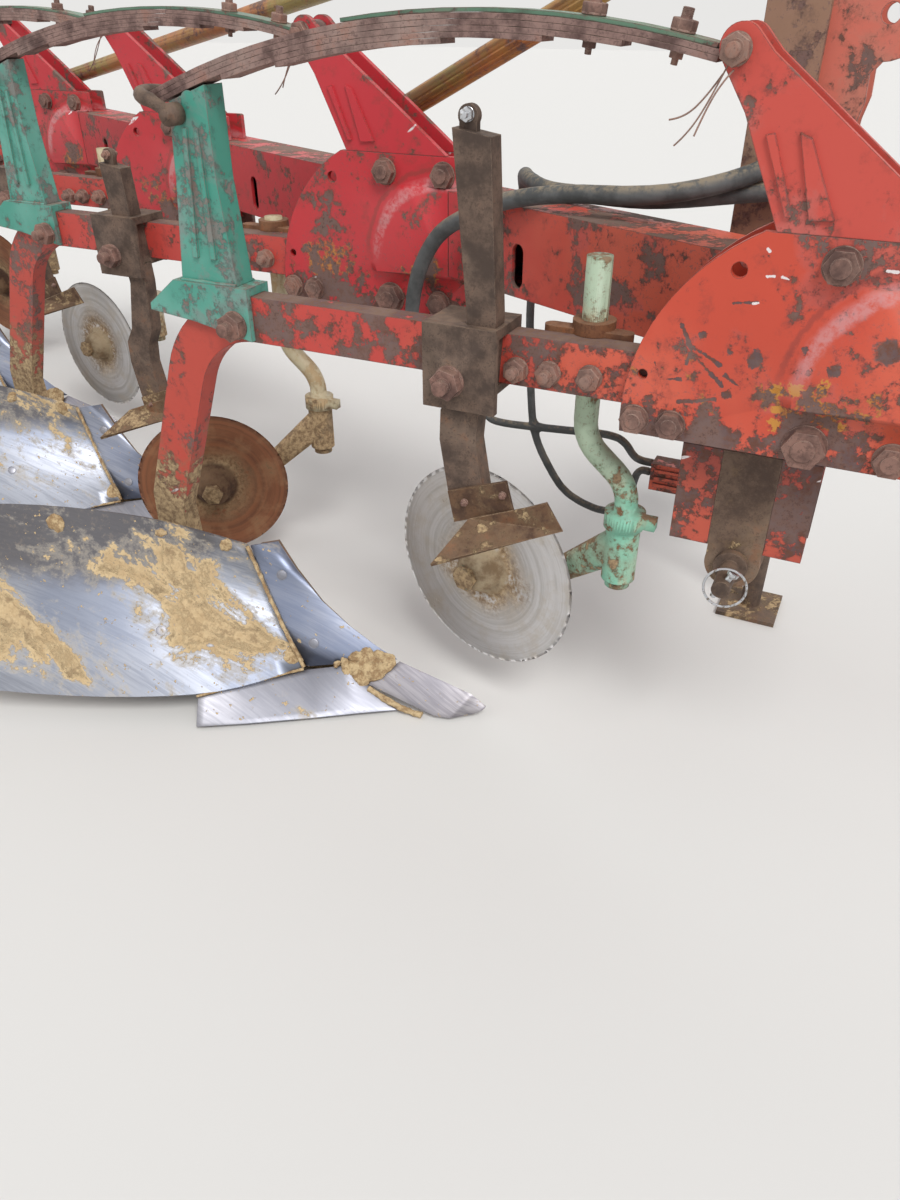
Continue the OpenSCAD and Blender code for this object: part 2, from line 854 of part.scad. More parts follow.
// A box around beam and shank, open at its sides
module skimmer_clamps() {
    color("saddlebrown")
        placed()
            row() {
                x = settings[$body][SKIM_X] - 6;
                front = shank_front - clamp_t;
                difference() {
                    union() {
                        translate([x - clamp_w / 2, front, clamp_low]) cube([clamp_w, clamp_t,
                            clamp_high - clamp_low]);
                        translate([x - clamp_w / 2, front, bar_top + seat]) cube([clamp_w,
                            bar_mid + 12 - front, 15]);
                        translate([x - clamp_w / 2 + 8, front, bar_low - 13]) cube([clamp_w - 16,
                            bar_mid + 12 - front, 13 - seat]);
                        translate([x - clamp_w / 2, bar_mid + seat, bar_low - 13]) cube([clamp_w, 12,
                            bar_h + 28]);
                    }
                    translate([settings[$body][SKIM_X], 0, -settings[$body][SKIM_DROP]])
                        slab(shank_mid_y - shank_t / 2 - 0.2, shank_mid_y + shank_t / 2 + 0.2)
                            polygon(shank_outline(0.3));
                }
                rod([x - 14, 708], 11, front - 18, front + 1);
                hex_y([x - 14, 708], 19, front - 12, front + 1);
            }
}

module skimmer_shanks() {
    color("dimgray")
        placed()
            row() {
                drop = settings[$body][SKIM_DROP];
                translate([settings[$body][SKIM_X], 0, -drop])
                    slab(shank_mid_y - shank_t / 2, shank_mid_y + shank_t / 2)
                        polygon(shank_outline(0));
            }
}

module skimmer_blades() {
    color("sienna")
        placed()
            row() {
                y = shank_front;
                translate([settings[$body][SKIM_X], 0, -settings[$body][SKIM_DROP]]) {
                    sheet([[[88, y, 509], [74, y, 558]], [[-15, y, 466], [-27, y, 520]]], 6, -6);
                    translate([settings[$body][BLADE_X], 5, 0])
                        sheet([[[174, y - 12, 494], [142, y - 10, 535]],
                            [[-10, y - 110, 440], [16, y - 22, 485]]], 7);
                }
            }
}

module coulter_clamps() {
    color("saddlebrown")
        placed()
            row()
                difference() {
                    union() {
                        translate([-382, bar_mid + seat, bar_low - 8]) cube([110, 26, bar_h + 16]);
                        translate([-382, bar_mid + seat + 13, bar_low - 8]) cylinder(h = bar_h + 16,
                            r = 13, $fn = 48);
                        translate([-272, bar_mid + seat + 13, bar_low - 8]) cylinder(h = bar_h + 16,
                            r = 13, $fn = 48);
                        translate([stem_x, stem_y, bar_low - 8]) cylinder(h = bar_h + 28,
                            r = stem_r + 13, $fn = 64);
                    }
                    translate([stem_x, stem_y, 600]) cylinder(h = 300, r = stem_r + seat, $fn = 64);
                    translate([-500, bar_mid + seat - 60, 600]) cube([300, 60, bar_top + seat - 600]);
                }
}

// Middle line of the stem's crank in the X-Z plane
crank_line = concat(
    [[0, 6]],
    [for (i = [0 : 5]) crank_r * [1 - cos(crank_angle * i / 5), -sin(crank_angle * i / 5)]],
    [for (i = [5 : -1 : 0]) [crank_shift, -crank_fall] - crank_r * [1 - cos(crank_angle * i / 5),
        -sin(crank_angle * i / 5)]],
    [[crank_shift, -crank_fall - 6]]);

module coulter_stems() {
    color("mediumaquamarine")
        placed()
            row()
                translate([stem_x, stem_y, -settings[$body][DROP]]) {
                    translate([0, 0, crank_top]) cylinder(h = stem_top - crank_top, r = stem_r, $fn = 64);
                    translate([0, 0, crank_top])
                        pipe([for (p = crank_line) [p[0], 0, p[1]]], stem_r - 0.1, 20);
                    translate([crank_shift, 0,
                        collar_z]) cylinder(h = crank_top - crank_fall - collar_z, r = stem_r,
                        $fn = 64);
                    translate([crank_shift, 0, collar_z]) cylinder(h = 28, r = stem_r + 14, $fn = 64);
                    translate([crank_shift + 20, -9, collar_z + 4]) cube([32, 18, 20]);
                    translate([crank_shift, 0,
                        sleeve_low - 10]) cylinder(h = collar_z - sleeve_low + 11, r = spindle_r,
                        $fn = 64);
                    translate([crank_shift, 0, sleeve_low - 14]) cylinder(h = 13.5, r = spindle_r + 6,
                        $fn = 64);
                }
}

// The arm of a coulter before it is turned: its swivel is on the Z axis
module arm_shape() {
    boss_y = -disc_side + 22;
    difference() {
        union() {
            translate([0, 0, sleeve_low]) cylinder(h = sleeve_high - sleeve_low, r = sleeve_r, $fn = 64);
            hull() {
                translate([-12, 0, sleeve_low + 32]) cylinder(h = 46, r = 20, $fn = 32);
                translate([-coulter_reach * 0.5, 10, axle_z + 24]) sphere(22, $fn = 32);
            }
            hull() {
                translate([-coulter_reach * 0.5, 10, axle_z + 24]) sphere(22, $fn = 32);
                translate([-coulter_reach, 18, axle_z]) rotate([90, 0, 0]) cylinder(h = 24, r = 24,
                    center = true, $fn = 32);
            }
            rod([-coulter_reach, axle_z], 28, boss_y, 34);
            rod([-coulter_reach, axle_z], axle_r, -disc_side - 52, 0);
            hex_y([-coulter_reach, axle_z], 24, -disc_side - 60, -disc_side - 46);
        }
        translate([0, 0, sleeve_low - 1]) cylinder(h = 200, r = spindle_r + run, $fn = 64);
    }
}

// Disc and hub, turned about the axle
module disc_shape(r) {
    translate([-coulter_reach, -disc_side, axle_z])
        rotate([90, 0, 0])
            rotate_extrude($fn = 128)
                polygon([[axle_r + run, -21.5], [32, -21.5], [34, -8], [60, -8], [90, -disc_t / 2],
                    [r - 14, -disc_t / 2], [r, 0],
                    [r - 14, disc_t / 2], [92, disc_t / 2], [62, -8 + disc_t], [44, 2], [40, 26], [32,
                        36], [axle_r + run, 45.5]]);
}

module coulter_arm(k) {
    color("mediumaquamarine")
        placed()
            translate(unit_at(k) + [swivel_x, stem_y, -settings[k][DROP]])
                rotate(-settings[k][TURN])
                    arm_shape();
}

module coulter_disc(k) {
    color("silver")
        placed()
            translate(unit_at(k) + [swivel_x, stem_y, -settings[k][DROP]])
                rotate(-settings[k][TURN])
                    disc_shape(settings[k][DISC_R]);
}

// Two hoses laid on the frame beam, from the mast to the second body
hose_r = 15;
hose_z = frame_top + hose_r + 0.6;
thin_hose_r = 8;
hose_routes = [
    [[-110, 305, 1022], [-150, 303, 976], [-240, 256, 946], [-330, 228, 934], [-450, 246, 926],
        [-560, 262, 905], [-647, 285, 868], [-705, 303, 832], [-745, 314, 778], [-765, 318, 725],
        [-774, 320, 672], [-777, 328, 642], [-782, 352, 627], [-785, 386, 638],
        [-785, 405, 668], [-785, 406, 706], [-785, 406, frame_z - 0.4]],
    [[-48, 305, 990], [-100, 303, 952], [-190, 299, 936], [-310, 274, 923], [-420, 318, 915],
        [-520, 362, hose_z], [-572, 400, hose_z + 8], [-604, 462, hose_z + 4], [-618, 506, 880],
        [-608, 488, 846], [-599, 461, 828], [-612, 434.8, 828]],
];
thin_hose_routes = [
    [[-520, 300, frame_z - 0.4], [-520, 300, 700], [-516, 300, 640], [-511, 300, 567], [-499, 300, 486],
        [-466, 300, 422], [-422, 300, 371], [-346, 300, 350], [-304, 300, 380], [-290, 300, 446],
        [-264, 300, 450]],
    [[-640, 345, frame_z - 0.4], [-640, 345, 700], [-652, 345, 640], [-650, 335, 545], [-610, 318, 499],
        [-568, 306, 492], [-441, 294, 505], [-337, 304, 506], [-300, 312, 468], [-264, 312, 464]],
];
function ring(p, d, r, n) =
    let (up = abs(d[1]) < 0.01 ? [0, 1, 0] : [0, 0, 1], a = unit3(cross3(d, up)), b = unit3(cross3(d, a)))
    [for (i = [0 : n - 1]) p + r * (cos(360 * i / n) * a + sin(360 * i / n) * b)];
module pipe(pts, r, n) {
    last = len(pts) - 1;
    rings = [for (i = [0 : last]) ring(pts[i], pts[min(i + 1, last)] - pts[max(i - 1, 0)], r, n)];
    polyhedron(
        [for (q = rings) each q],
        concat(
            [[for (j = [0 : n - 1]) j]],
            [for (i = [0 : last - 1]) for (j = [0 : n - 1])
                each [[i * n + j, (i + 1) * n + (j + 1) % n, i * n + (j + 1) % n],
                    [i * n + j, (i + 1) * n + j, (i + 1) * n + (j + 1) % n]]],
            [[for (j = [0 : n - 1]) last * n + n - 1 - j]]));
}

module tube(route, r, steps, n) {
    pipe([for (i = [0 : steps]) through(route, i / steps)], r, n);
}

module hoses() {
    color("dimgray")
        placed() {
            for (r = hose_routes)
                tube(r, hose_r, 40, 10);
            for (r = thin_hose_routes)
                tube(r, thin_hose_r, 28, 8);
        }
}

module stand_socket() {
    color("firebrick")
        placed()
            difference() {
                union() {
                    translate([stand_at[0], stand_at[1], cross_top + seat]) cylinder(h = 130,
                        r = stand_r + 8, $fn = 64);
                    translate([cross_x + 6, stand_at[1] - 55, cross_top + seat]) cube([cross_w - 12,
                        110, 12]);
                }
                translate([stand_at[0], stand_at[1], cross_z - 10]) cylinder(h = 500,
                    r = stand_r + run, $fn = 64);
            }
}

module stand_leg() {
    color("dimgray")
        placed()
            translate([stand_at[0], stand_at[1], 0]) {
                translate([0, 0, stand_low - 1]) cylinder(h = stand_high - stand_low, r = stand_r,
                    $fn = 64);
                translate([-stand_foot / 2, -stand_foot / 2, 0]) cube([stand_foot, stand_foot,
                    stand_low]);
            }
}

frame_beam();
cross_beam();
hitch_brackets();
hitch_blocks();
hitch_pins();
mast_posts();
mast_plates();
mast_stays();
head_plates();
spring_arms();
head_bolts();
body_beams();
leaf_springs();
spring_plates();
spring_pins();
spring_shackles();
spring_struts();
strut_saddles();
legs();
frogs();
mouldboards();
shins();
shares();
points();
landsides();
board_stays();
skimmer_clamps();
skimmer_shanks();
skimmer_blades();
coulter_clamps();
coulter_stems();
hoses();
stand_socket();
stand_leg();
coulter_arm(0);  // coulter_arm_1
coulter_arm(1);  // coulter_arm_2
coulter_arm(2);  // coulter_arm_3
coulter_arm(3);  // coulter_arm_4
coulter_disc(0);  // coulter_disc_1
coulter_disc(1);  // coulter_disc_2
coulter_disc(2);  // coulter_disc_3
coulter_disc(3);  // coulter_disc_4
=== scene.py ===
import json
import math
import bmesh
import bpy
from mathutils import Matrix, Vector
from mathutils.bvhtree import BVHTree


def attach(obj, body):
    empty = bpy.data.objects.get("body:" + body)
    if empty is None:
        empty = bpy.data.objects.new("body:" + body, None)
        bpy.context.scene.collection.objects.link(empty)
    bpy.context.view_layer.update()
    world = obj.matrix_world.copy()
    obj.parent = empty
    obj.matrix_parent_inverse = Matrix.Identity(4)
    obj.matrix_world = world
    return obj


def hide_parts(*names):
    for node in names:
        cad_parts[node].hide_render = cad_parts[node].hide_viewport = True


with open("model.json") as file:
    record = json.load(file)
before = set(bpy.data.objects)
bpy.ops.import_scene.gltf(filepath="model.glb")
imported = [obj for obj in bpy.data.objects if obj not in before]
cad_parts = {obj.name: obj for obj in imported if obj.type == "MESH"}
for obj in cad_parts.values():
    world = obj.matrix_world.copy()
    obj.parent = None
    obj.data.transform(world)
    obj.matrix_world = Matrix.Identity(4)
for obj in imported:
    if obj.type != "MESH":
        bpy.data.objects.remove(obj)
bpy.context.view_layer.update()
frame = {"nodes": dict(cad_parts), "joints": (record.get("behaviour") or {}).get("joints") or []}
nodes = frame["nodes"]
bpy.ops.object.select_all(action="DESELECT")
print("frame loaded,", len(nodes), "nodes")

# the first body's head bolt in this frame, and the step from one body to the next, in metres
firstBody = Vector((2.018, -0.424745, 0.0))
bodyStep = Vector((-0.85, 0.406, 0.0))
bodyCount = 4


def onBody(body, x, y, z):
    # millimetres from a body's head bolt to metres in the frame
    return firstBody + bodyStep * body + Vector((x, y, z)) / 1000


# the camera stands where the photo was taken from; metres, degrees and millimetres of lens
photoCamera = {"place": (2.078, -1.672, 1.18), "pitchDown": 33.5, "heading": 25.6, "lens": 27.0,
               "sensor": 36, "farthest": 200}
turn = (math.radians(90 - photoCamera["pitchDown"]), 0, math.radians(photoCamera["heading"]))
bpy.ops.object.camera_add(location=photoCamera["place"], rotation=turn)
photoEye = bpy.context.object
photoEye.name = "photo_eye"
photoEye.data.sensor_fit = "VERTICAL"
photoEye.data.sensor_height = photoCamera["sensor"]
photoEye.data.lens = photoCamera["lens"]
photoEye.data.clip_end = photoCamera["farthest"]
bpy.context.scene.camera = photoEye

# soft suns, in degrees
lamps = {
    "key": {"strength": 2.3, "angle": 24, "lean": (38, 8, 34)},
    "side": {"strength": 0.55, "angle": 60, "lean": (58, 0, -60)},
    "back": {"strength": 0.5, "angle": 60, "lean": (-52, 0, 20)},
}
for lampName, lamp in lamps.items():
    bpy.ops.object.light_add(type="SUN", rotation=[math.radians(a) for a in lamp["lean"]])
    bpy.context.object.name = lampName
    bpy.context.object.data.energy = lamp["strength"]
    bpy.context.object.data.angle = math.radians(lamp["angle"])


class Wire:
    # a socket that can stand in a sum

    def __init__(self, home, socket):
        self.home = home
        self.socket = socket

    def __add__(self, other):
        return self.home.maths("ADD", self, other)

    def __radd__(self, other):
        return self.home.maths("ADD", other, self)

    def __sub__(self, other):
        return self.home.maths("SUBTRACT", self, other)

    def __rsub__(self, other):
        return self.home.maths("SUBTRACT", other, self)

    def __mul__(self, other):
        return self.home.maths("MULTIPLY", self, other)

    def __rmul__(self, other):
        return self.home.maths("MULTIPLY", other, self)


class Nodes:
    # one node tree, built by sums of wires

    def __init__(self, tree):
        self.tree = tree

    def node(self, kind, settings, sockets, output=0):
        # any node: its type, its settings, then the values or wires of its sockets
        made = self.tree.nodes.new("ShaderNode" + kind)
        for key, value in settings.items():
            setattr(made, key, value)
        for key, value in sockets.items():
            self.feed(made.inputs[key], value)
        return made if output is None else Wire(self, made.outputs[output])

    def feed(self, socket, value):
        if isinstance(value, Wire):
            self.tree.links.new(value.socket, socket)
        else:
            socket.default_value = value

    def maths(self, operation, first, second):
        return self.node("Math", {"operation": operation}, {0: first, 1: second})

    def vectors(self, operation, first, second, output=0):
        return self.node("VectorMath", {"operation": operation}, {0: first, 1: second}, output)

    def least(self, first, second):
        return self.maths("MINIMUM", first, second)

    def most(self, first, second):
        return self.maths("MAXIMUM", first, second)

    def rise(self, value, low, high):
        # 0 below low, 1 above high, smooth between
        settings = {"interpolation_type": "SMOOTHSTEP"}
        return self.node("MapRange", settings, {"Value": value, "From Min": low, "From Max": high})

    def band(self, value, low, high, soft):
        return self.rise(value, low, low + soft) * (1 - self.rise(value, high - soft, high))

    def blend(self, amount, first, second):
        return self.node("Mix", {"data_type": "RGBA"}, {0: amount, 6: rgba(first), 7: rgba(second)}, 2)

    def gap(self, first, second):
        # metres between two places
        return self.vectors("DISTANCE", first, second, "Value")


class Finish(Nodes):
    # one material

    def __init__(self, name):
        self.material = bpy.data.materials.new(name)
        self.material.use_nodes = True
        super().__init__(self.material.node_tree)
        self.shader = self.tree.nodes["Principled BSDF"]
        self.place = self.node("TexCoord", {}, {}, "Object")
        spot = self.node("SeparateXYZ", {}, {0: self.place}, None)
        self.x, self.y, self.z = [Wire(self, out) for out in spot.outputs]
        self.facing = self.node("NewGeometry", {}, {}, "Normal")

    def grain(self, scale, detail, rough, shift, warp=0.0, along=(1, 1, 1), lean=(0, 0, 0)):
        # noise on the object's own place, leaned by degrees, stretched and shifted
        angles = [math.radians(a) for a in lean]
        leaned = self.node("Mapping", {}, {"Vector": self.place, "Rotation": angles})
        moved = (shift, shift * 0.7, shift * 1.3)
        where = self.node("Mapping", {}, {"Vector": leaned, "Location": moved, "Scale": along})
        asked = {"Vector": where, "Scale": scale, "Detail": detail, "Roughness": rough, "Distortion": warp}
        return self.node("TexNoise", {}, asked)

    def sideOn(self):
        # the place with its Y left out, so a mark shows on both faces of a plate
        return self.vectors("MULTIPLY", self.place, (1, 0, 1))

    def spot(self, seen, centre, wide, ragged):
        return self.rise(self.gap(seen, centre) + ragged, wide, wide * 0.7)

    def stroke(self, seen, start, end, wide, ragged):
        # 1 along a line from start to end
        run = end - start
        past = self.vectors("SUBTRACT", seen, start)
        share = self.vectors("DOT_PRODUCT", past, run / run.length_squared, "Value")
        held = self.node("Clamp", {}, {0: share})
        nearest = self.node("VectorMath", {"operation": "SCALE"}, {0: run, "Scale": held})
        return self.rise(self.gap(past, nearest) + ragged, wide, wide * 0.6)

    def softEdge(self, radius):
        return self.node("Bevel", {"samples": 4}, {"Radius": radius})

    def edge(self, rounded):
        # 1 where the rounded normal leaves the flat one, along sharp edges
        return self.rise(1 - self.vectors("DOT_PRODUCT", rounded, self.facing, "Value"), 0.004, 0.12)

    def up(self):
        return self.node("SeparateXYZ", {}, {0: self.facing}, 2)

    def close(self, colour, rough, metal, height=None, depth=0.001, rounded=None):
        # all of it onto the shader; the height is a bump this many metres deep
        self.feed(self.shader.inputs["Base Color"], rgba(colour))
        self.feed(self.shader.inputs["Roughness"], rough)
        self.feed(self.shader.inputs["Metallic"], metal)
        if height is not None:
            asked = {"Height": height, "Distance": depth}
            if rounded is not None:
                asked["Normal"] = rounded
            self.feed(self.shader.inputs["Normal"], self.node("Bump", {}, asked))
        return self.material


def rgba(colour):
    if isinstance(colour, Wire):
        return colour
    return (*[linear(c) for c in colour], 1)


def linear(value):
    # photo values 0 to 255 to Blender's linear colours
    value = value / 255
    return value / 12.92 if value <= 0.04045 else ((value + 0.055) / 1.055) ** 2.4


# finishes: each function builds one material from a look, whose colours are photo values 0 to 255
earthTones = {"earth": (184, 158, 120), "wetEarth": (126, 102, 76), "dustTone": (136, 114, 92)}


def crumbly(f, fine, look):
    return f.blend(f.rise(fine, 0.35, 0.65), look["earth"], look["wetEarth"])


def dusted(f, patch, fine, look, lowest):
    # dust on what faces up
    return f.rise(f.up(), lowest, 0.95) * f.rise(patch * 0.5 + fine * 0.5, 0.4, 0.62) * look["dust"]


def soiled(f, colour, clods, fine, look, stained):
    # a damp stain with dried soil in it, more of both lower down
    soil = clods + (look["mudTop"] - f.z) * look["mudSlope"]
    muddy = f.rise(soil, 0.52, 0.57)
    colour = f.blend(f.rise(soil, 0.42, stained) * 0.5, colour, look["wetEarth"])
    return f.blend(muddy, colour, crumbly(f, fine, look)), muddy


def flatSpot(place, body=0):
    # a mark on a body's head, from millimetres to the frame's XZ plane
    spot = onBody(body, place[0], 0, place[1])
    spot.y = 0
    return spot


# what a paint has unless its look says otherwise
paintBase = {"bare": (104, 82, 82), "rust": (112, 72, 58), "pale": (132, 108, 100), "deep": (70, 54, 52),
             "grimeTone": (134, 72, 60), "glint": (236, 228, 228), "blushed": 0.6, "edgeWear": 1.3,
             "topWear": 0.03, "dust": 0.4, "mudTop": 0.1, "mudSlope": 2.0, **earthTones}


def paintFinish(name, look):
    f = Finish(name)
    look = {**paintBase, **look}
    rounded = f.softEdge(0.0022)
    seed = look["seed"]
    broad = f.grain(2.6, 4, 0.55, seed)
    patch = f.grain(8.5, 6, 0.62, seed + 3, 0.4)
    flake = f.grain(27, 7, 0.68, seed + 5)
    fine = f.grain(95, 5, 0.7, seed + 7)
    grit = f.grain(270, 3, 0.6, seed + 9)
    colour = f.blend(f.rise(broad, 0.42, 0.58), look["paint"], look["faded"])
    colour = f.blend(f.rise(patch, 0.5, 0.62) * look["blushed"], colour, look["blush"])
    if "shadeCrimson" in look:
        # painted shade: the rear bodies, which stand in shade, get a colder, deeper red
        colour = f.blend(f.rise(f.x + broad * 0.5, 1.95, 1.55) * 0.85, colour, look["shadeCrimson"])
    colour = f.blend(f.rise(flake, 0.5, 0.7) * 0.5, colour, look["dark"])
    if "ochre" in look:
        near = f.band(f.z + patch * 0.06, 0.7, 0.83, 0.03)
        old = f.rise(patch * 0.6 + flake * 0.4, 0.545, 0.56) * near
        colour = f.blend(old, colour, look["ochre"])
    grime = f.rise(patch * 0.6 + flake * 0.4, 0.49, 0.62) * 0.4
    colour = f.blend(grime, colour, look["grimeTone"])
    pits = f.rise(fine * 0.5 + grit * 0.5, 0.54, 0.6) * f.rise(patch * 0.5 + broad * 0.5, 0.42, 0.62)
    colour = f.blend(pits * 0.75, colour, look["bare"])
    # paint gone in flakes, most along the edges and where soil and chains rub
    worn = f.edge(rounded) * look["edgeWear"]
    high = f.rise(f.up(), 0.6, 0.95) * look["topWear"]
    wear = patch * 0.42 + flake * 0.36 + fine * 0.22 + worn * 0.1 + high
    if "lowWear" in look:
        wear = wear + f.rise(f.z, look["lowWear"], look["lowWear"] - 0.05) * 0.07
    low = look["chipFrom"]
    bareMask = f.rise(wear, low, low + 0.012)
    ring = f.rise(wear, low - 0.022, low - 0.004)
    if "marks" in look:
        marks, seen = look["marks"], f.sideOn()
        ragged = (fine - 0.5) * 0.011 + (flake - 0.5) * 0.016
        for start, end, wide in marks["scratches"]:
            scratch = f.stroke(seen, flatSpot(start), flatSpot(end), wide / 1000, ragged)
            bareMask = f.most(bareMask, scratch)
        for centre, wide in marks["spots"]:
            bareMask = f.most(bareMask, f.spot(seen, flatSpot(centre), wide / 1000, ragged * 1.8))
    rust = f.blend(f.rise(fine, 0.4, 0.62), look["bare"], look["rust"])
    rust = f.blend(f.rise(patch, 0.45, 0.6) * 0.6, rust, look["pale"])
    rust = f.blend(pits * 0.6, rust, look["deep"])
    colour = f.blend(ring * 0.45, colour, look["dark"])
    colour = f.blend(bareMask, colour, rust)
    if "marks" in look:
        for centre, wide in marks["ochre"]:
            left = f.spot(seen, flatSpot(centre), wide / 1000, ragged * 2.4)
            colour = f.blend(left * f.rise(fine, 0.36, 0.42), colour, look["ochre"])
    # painted glints: near-white highlight specks, and on the first head plate short highlight strokes, blended
    # into the paint colour and made more metallic
    glints = f.rise(f.grain(21, 2, 0.5, seed + 21, 0.2, (0.4, 0.4, 1.7), (0, 30, 15)), 0.745, 0.76)
    glints = glints * f.rise(fine, 0.42, 0.5)
    if "marks" in look:
        for start, end, wide in marks["glintStrokes"]:
            glintStroke = f.stroke(seen, flatSpot(start), flatSpot(end), wide / 1000, ragged * 0.5)
            glints = f.most(glints, glintStroke)
        # the pressed arch gets a pale crown, partly rubbed paint and partly painted highlight, and a painted
        # shade line along its foot
        upper = f.rise(f.z, 0.745, 0.8)
        rubbed = f.rise(patch * 0.5 + fine * 0.5, 0.36, 0.54)
        for body in range(bodyCount):
            reach = f.gap(seen, flatSpot(marks["arch"], body)) + ragged
            foot = f.band(reach, 0.16, 0.173, 0.005) * upper
            crown = f.band(reach, 0.126, 0.157, 0.011) * upper * rubbed
            colour = f.blend(foot * 0.55, colour, look["dark"])
            colour = f.blend(crown * 0.62, colour, marks["crownTone"])
    colour = f.blend(glints, colour, look["glint"])
    dusty = dusted(f, patch, fine, look, 0.35)
    colour = f.blend(dusty, colour, look["dustTone"])
    if "caked" in look:
        # behind the first body the stems are caked with dried soil
        caked = f.rise(f.x + patch * 0.3, 1.45, 1.25) * f.rise(fine * 0.4 + patch * 0.6, 0.36, 0.46)
        lumpy = f.blend(f.rise(flake, 0.4, 0.62), look["caked"], look["earth"])
        colour = f.blend(caked * 0.9, colour, lumpy)
    clods = f.grain(22, 8, 0.7, seed + 11)
    colour, muddy = soiled(f, colour, clods, fine, look, 0.56)
    rough = 0.4 + fine * 0.16 + bareMask * 0.25 + dusty * 0.3 + muddy * 0.3
    height = fine * 0.12 + ring * 0.1 - bareMask * 0.4 + muddy * (0.6 + clods * 1.6)
    metal = (bareMask * 0.3 + glints * 0.6) * (1 - muddy)
    return f.close(colour, f.least(rough, 0.95), metal, height, 0.0011, rounded)


rustBase = {"edgeRadius": 0.002, "edgeWear": 0.7, "metal": 0.2, "dust": 0.4, "mudTop": 0.1, "mudSlope": 2.0,
            **earthTones}


def rustFinish(name, look):
    f = Finish(name)
    look = {**rustBase, **look}
    rounded = f.softEdge(look["edgeRadius"])
    seed = look["seed"]
    broad = f.grain(5, 5, 0.6, seed)
    patch = f.grain(20, 7, 0.7, seed + 2)
    fine = f.grain(110, 5, 0.72, seed + 5)
    grit = f.grain(320, 3, 0.6, seed + 6)
    colour = f.blend(f.rise(patch, 0.36, 0.62), look["deep"], look["rust"])
    colour = f.blend(f.rise(broad, 0.48, 0.66) * 0.65, colour, look["pale"])
    colour = f.blend(f.rise(broad * 0.4 + patch * 0.6, 0.54, 0.62) * 0.6, colour, look["tint"])
    colour = f.blend(f.rise(fine * 0.5 + grit * 0.5, 0.52, 0.6) * 0.6, colour, look["deep"])
    shine = f.edge(rounded) * look["edgeWear"]
    colour = f.blend(shine * f.rise(fine, 0.35, 0.65), colour, look["rubbed"])
    colour = f.blend(dusted(f, patch, fine, look, 0.3), colour, look["dustTone"])
    clods = f.grain(26, 8, 0.7, seed + 11)
    colour, muddy = soiled(f, colour, clods, fine, look, 0.55)
    rough = f.least(0.62 + fine * 0.25 + muddy * 0.2 - shine * 0.15, 0.97)
    height = patch * 0.55 + fine * 0.35 + grit * 0.12 + muddy * (0.5 + clods * 1.8)
    metal = (look["metal"] + shine * 0.3) * (1 - muddy)
    return f.close(colour, rough, metal, height, 0.0009, rounded)


steelBase = {"rough": 0.36, "lightEarth": (204, 180, 140), "filmTone": (176, 168, 156), **earthTones}


def boardFinish(name, look):
    f = Finish(name)
    look = {**steelBase, **look}
    seed = look["seed"]
    broad = f.grain(2.4, 4, 0.55, seed)
    patch = f.grain(7, 8, 0.68, seed + 3, 0.5, (0.62, 1.1, 1.25), (0, -26, 0))
    clumps = f.grain(30, 6, 0.7, seed + 4)
    fine = f.grain(120, 5, 0.7, seed + 5)
    brushed = f.grain(62, 4, 0.6, seed + 8, 0, (0.09, 0.3, 1.5), (0, -24, 0))
    hairs = f.grain(260, 3, 0.6, seed + 9, 0, (0.04, 0.2, 1.6), (0, -24, 0))
    colour = f.blend(f.rise(brushed * 0.5 + hairs * 0.5, 0.42, 0.6) * 0.7, look["bright"], look["grey"])
    colour = f.blend(f.rise(broad + brushed * 0.1, 0.46, 0.64) * 0.6, colour, look["blue"])
    # dull and dark high up, where the soil no longer scours the steel
    dull = f.rise(f.z + broad * 0.14 + patch * 0.12, look["dullFrom"], look["dullFrom"] + 0.06)
    specks = f.rise(fine * 0.6 + clumps * 0.4, 0.5, 0.62)
    colour = f.blend(dull * 0.85, colour, f.blend(specks * 0.5, look["dull"], look["dullSpeck"]))
    belt = f.band(f.z + broad * 0.05, look["mudLow"], look["mudHigh"], 0.06) * 0.05
    amount = patch * 0.72 + clumps * 0.2 + fine * 0.08 + belt
    dry = f.rise(amount, look["mudFrom"], look["mudFrom"] + 0.012)
    thick = f.rise(amount, look["mudFrom"] + 0.03, look["mudFrom"] + 0.09)
    film = f.rise(amount, look["mudFrom"] - 0.055, look["mudFrom"])
    spatter = f.rise(f.grain(85, 4, 0.6, seed + 15), 0.655, 0.67)
    colour = f.blend(film * 0.5, colour, look["filmTone"])
    soilTone = f.blend(f.rise(clumps * 0.6 + fine * 0.4, 0.4, 0.6), look["earth"], look["lightEarth"])
    soilTone = f.blend(thick * f.rise(clumps, 0.5, 0.64) * 0.7, soilTone, look["wetEarth"])
    dry = f.most(dry, spatter)
    colour = f.blend(dry, colour, soilTone)
    rough = look["rough"] + hairs * 0.12 + brushed * 0.04 + dull * 0.16 + film * 0.14 + dry * 0.45
    height = hairs * 0.04 + brushed * 0.02 + dry * 0.3 + dry * thick * (0.7 + clumps * 1.4)
    metal = (1 - dry) * (1 - film * 0.5) * (1 - dull * 0.4) * 0.92
    return f.close(colour, f.least(rough, 0.95), metal, height, 0.0016)


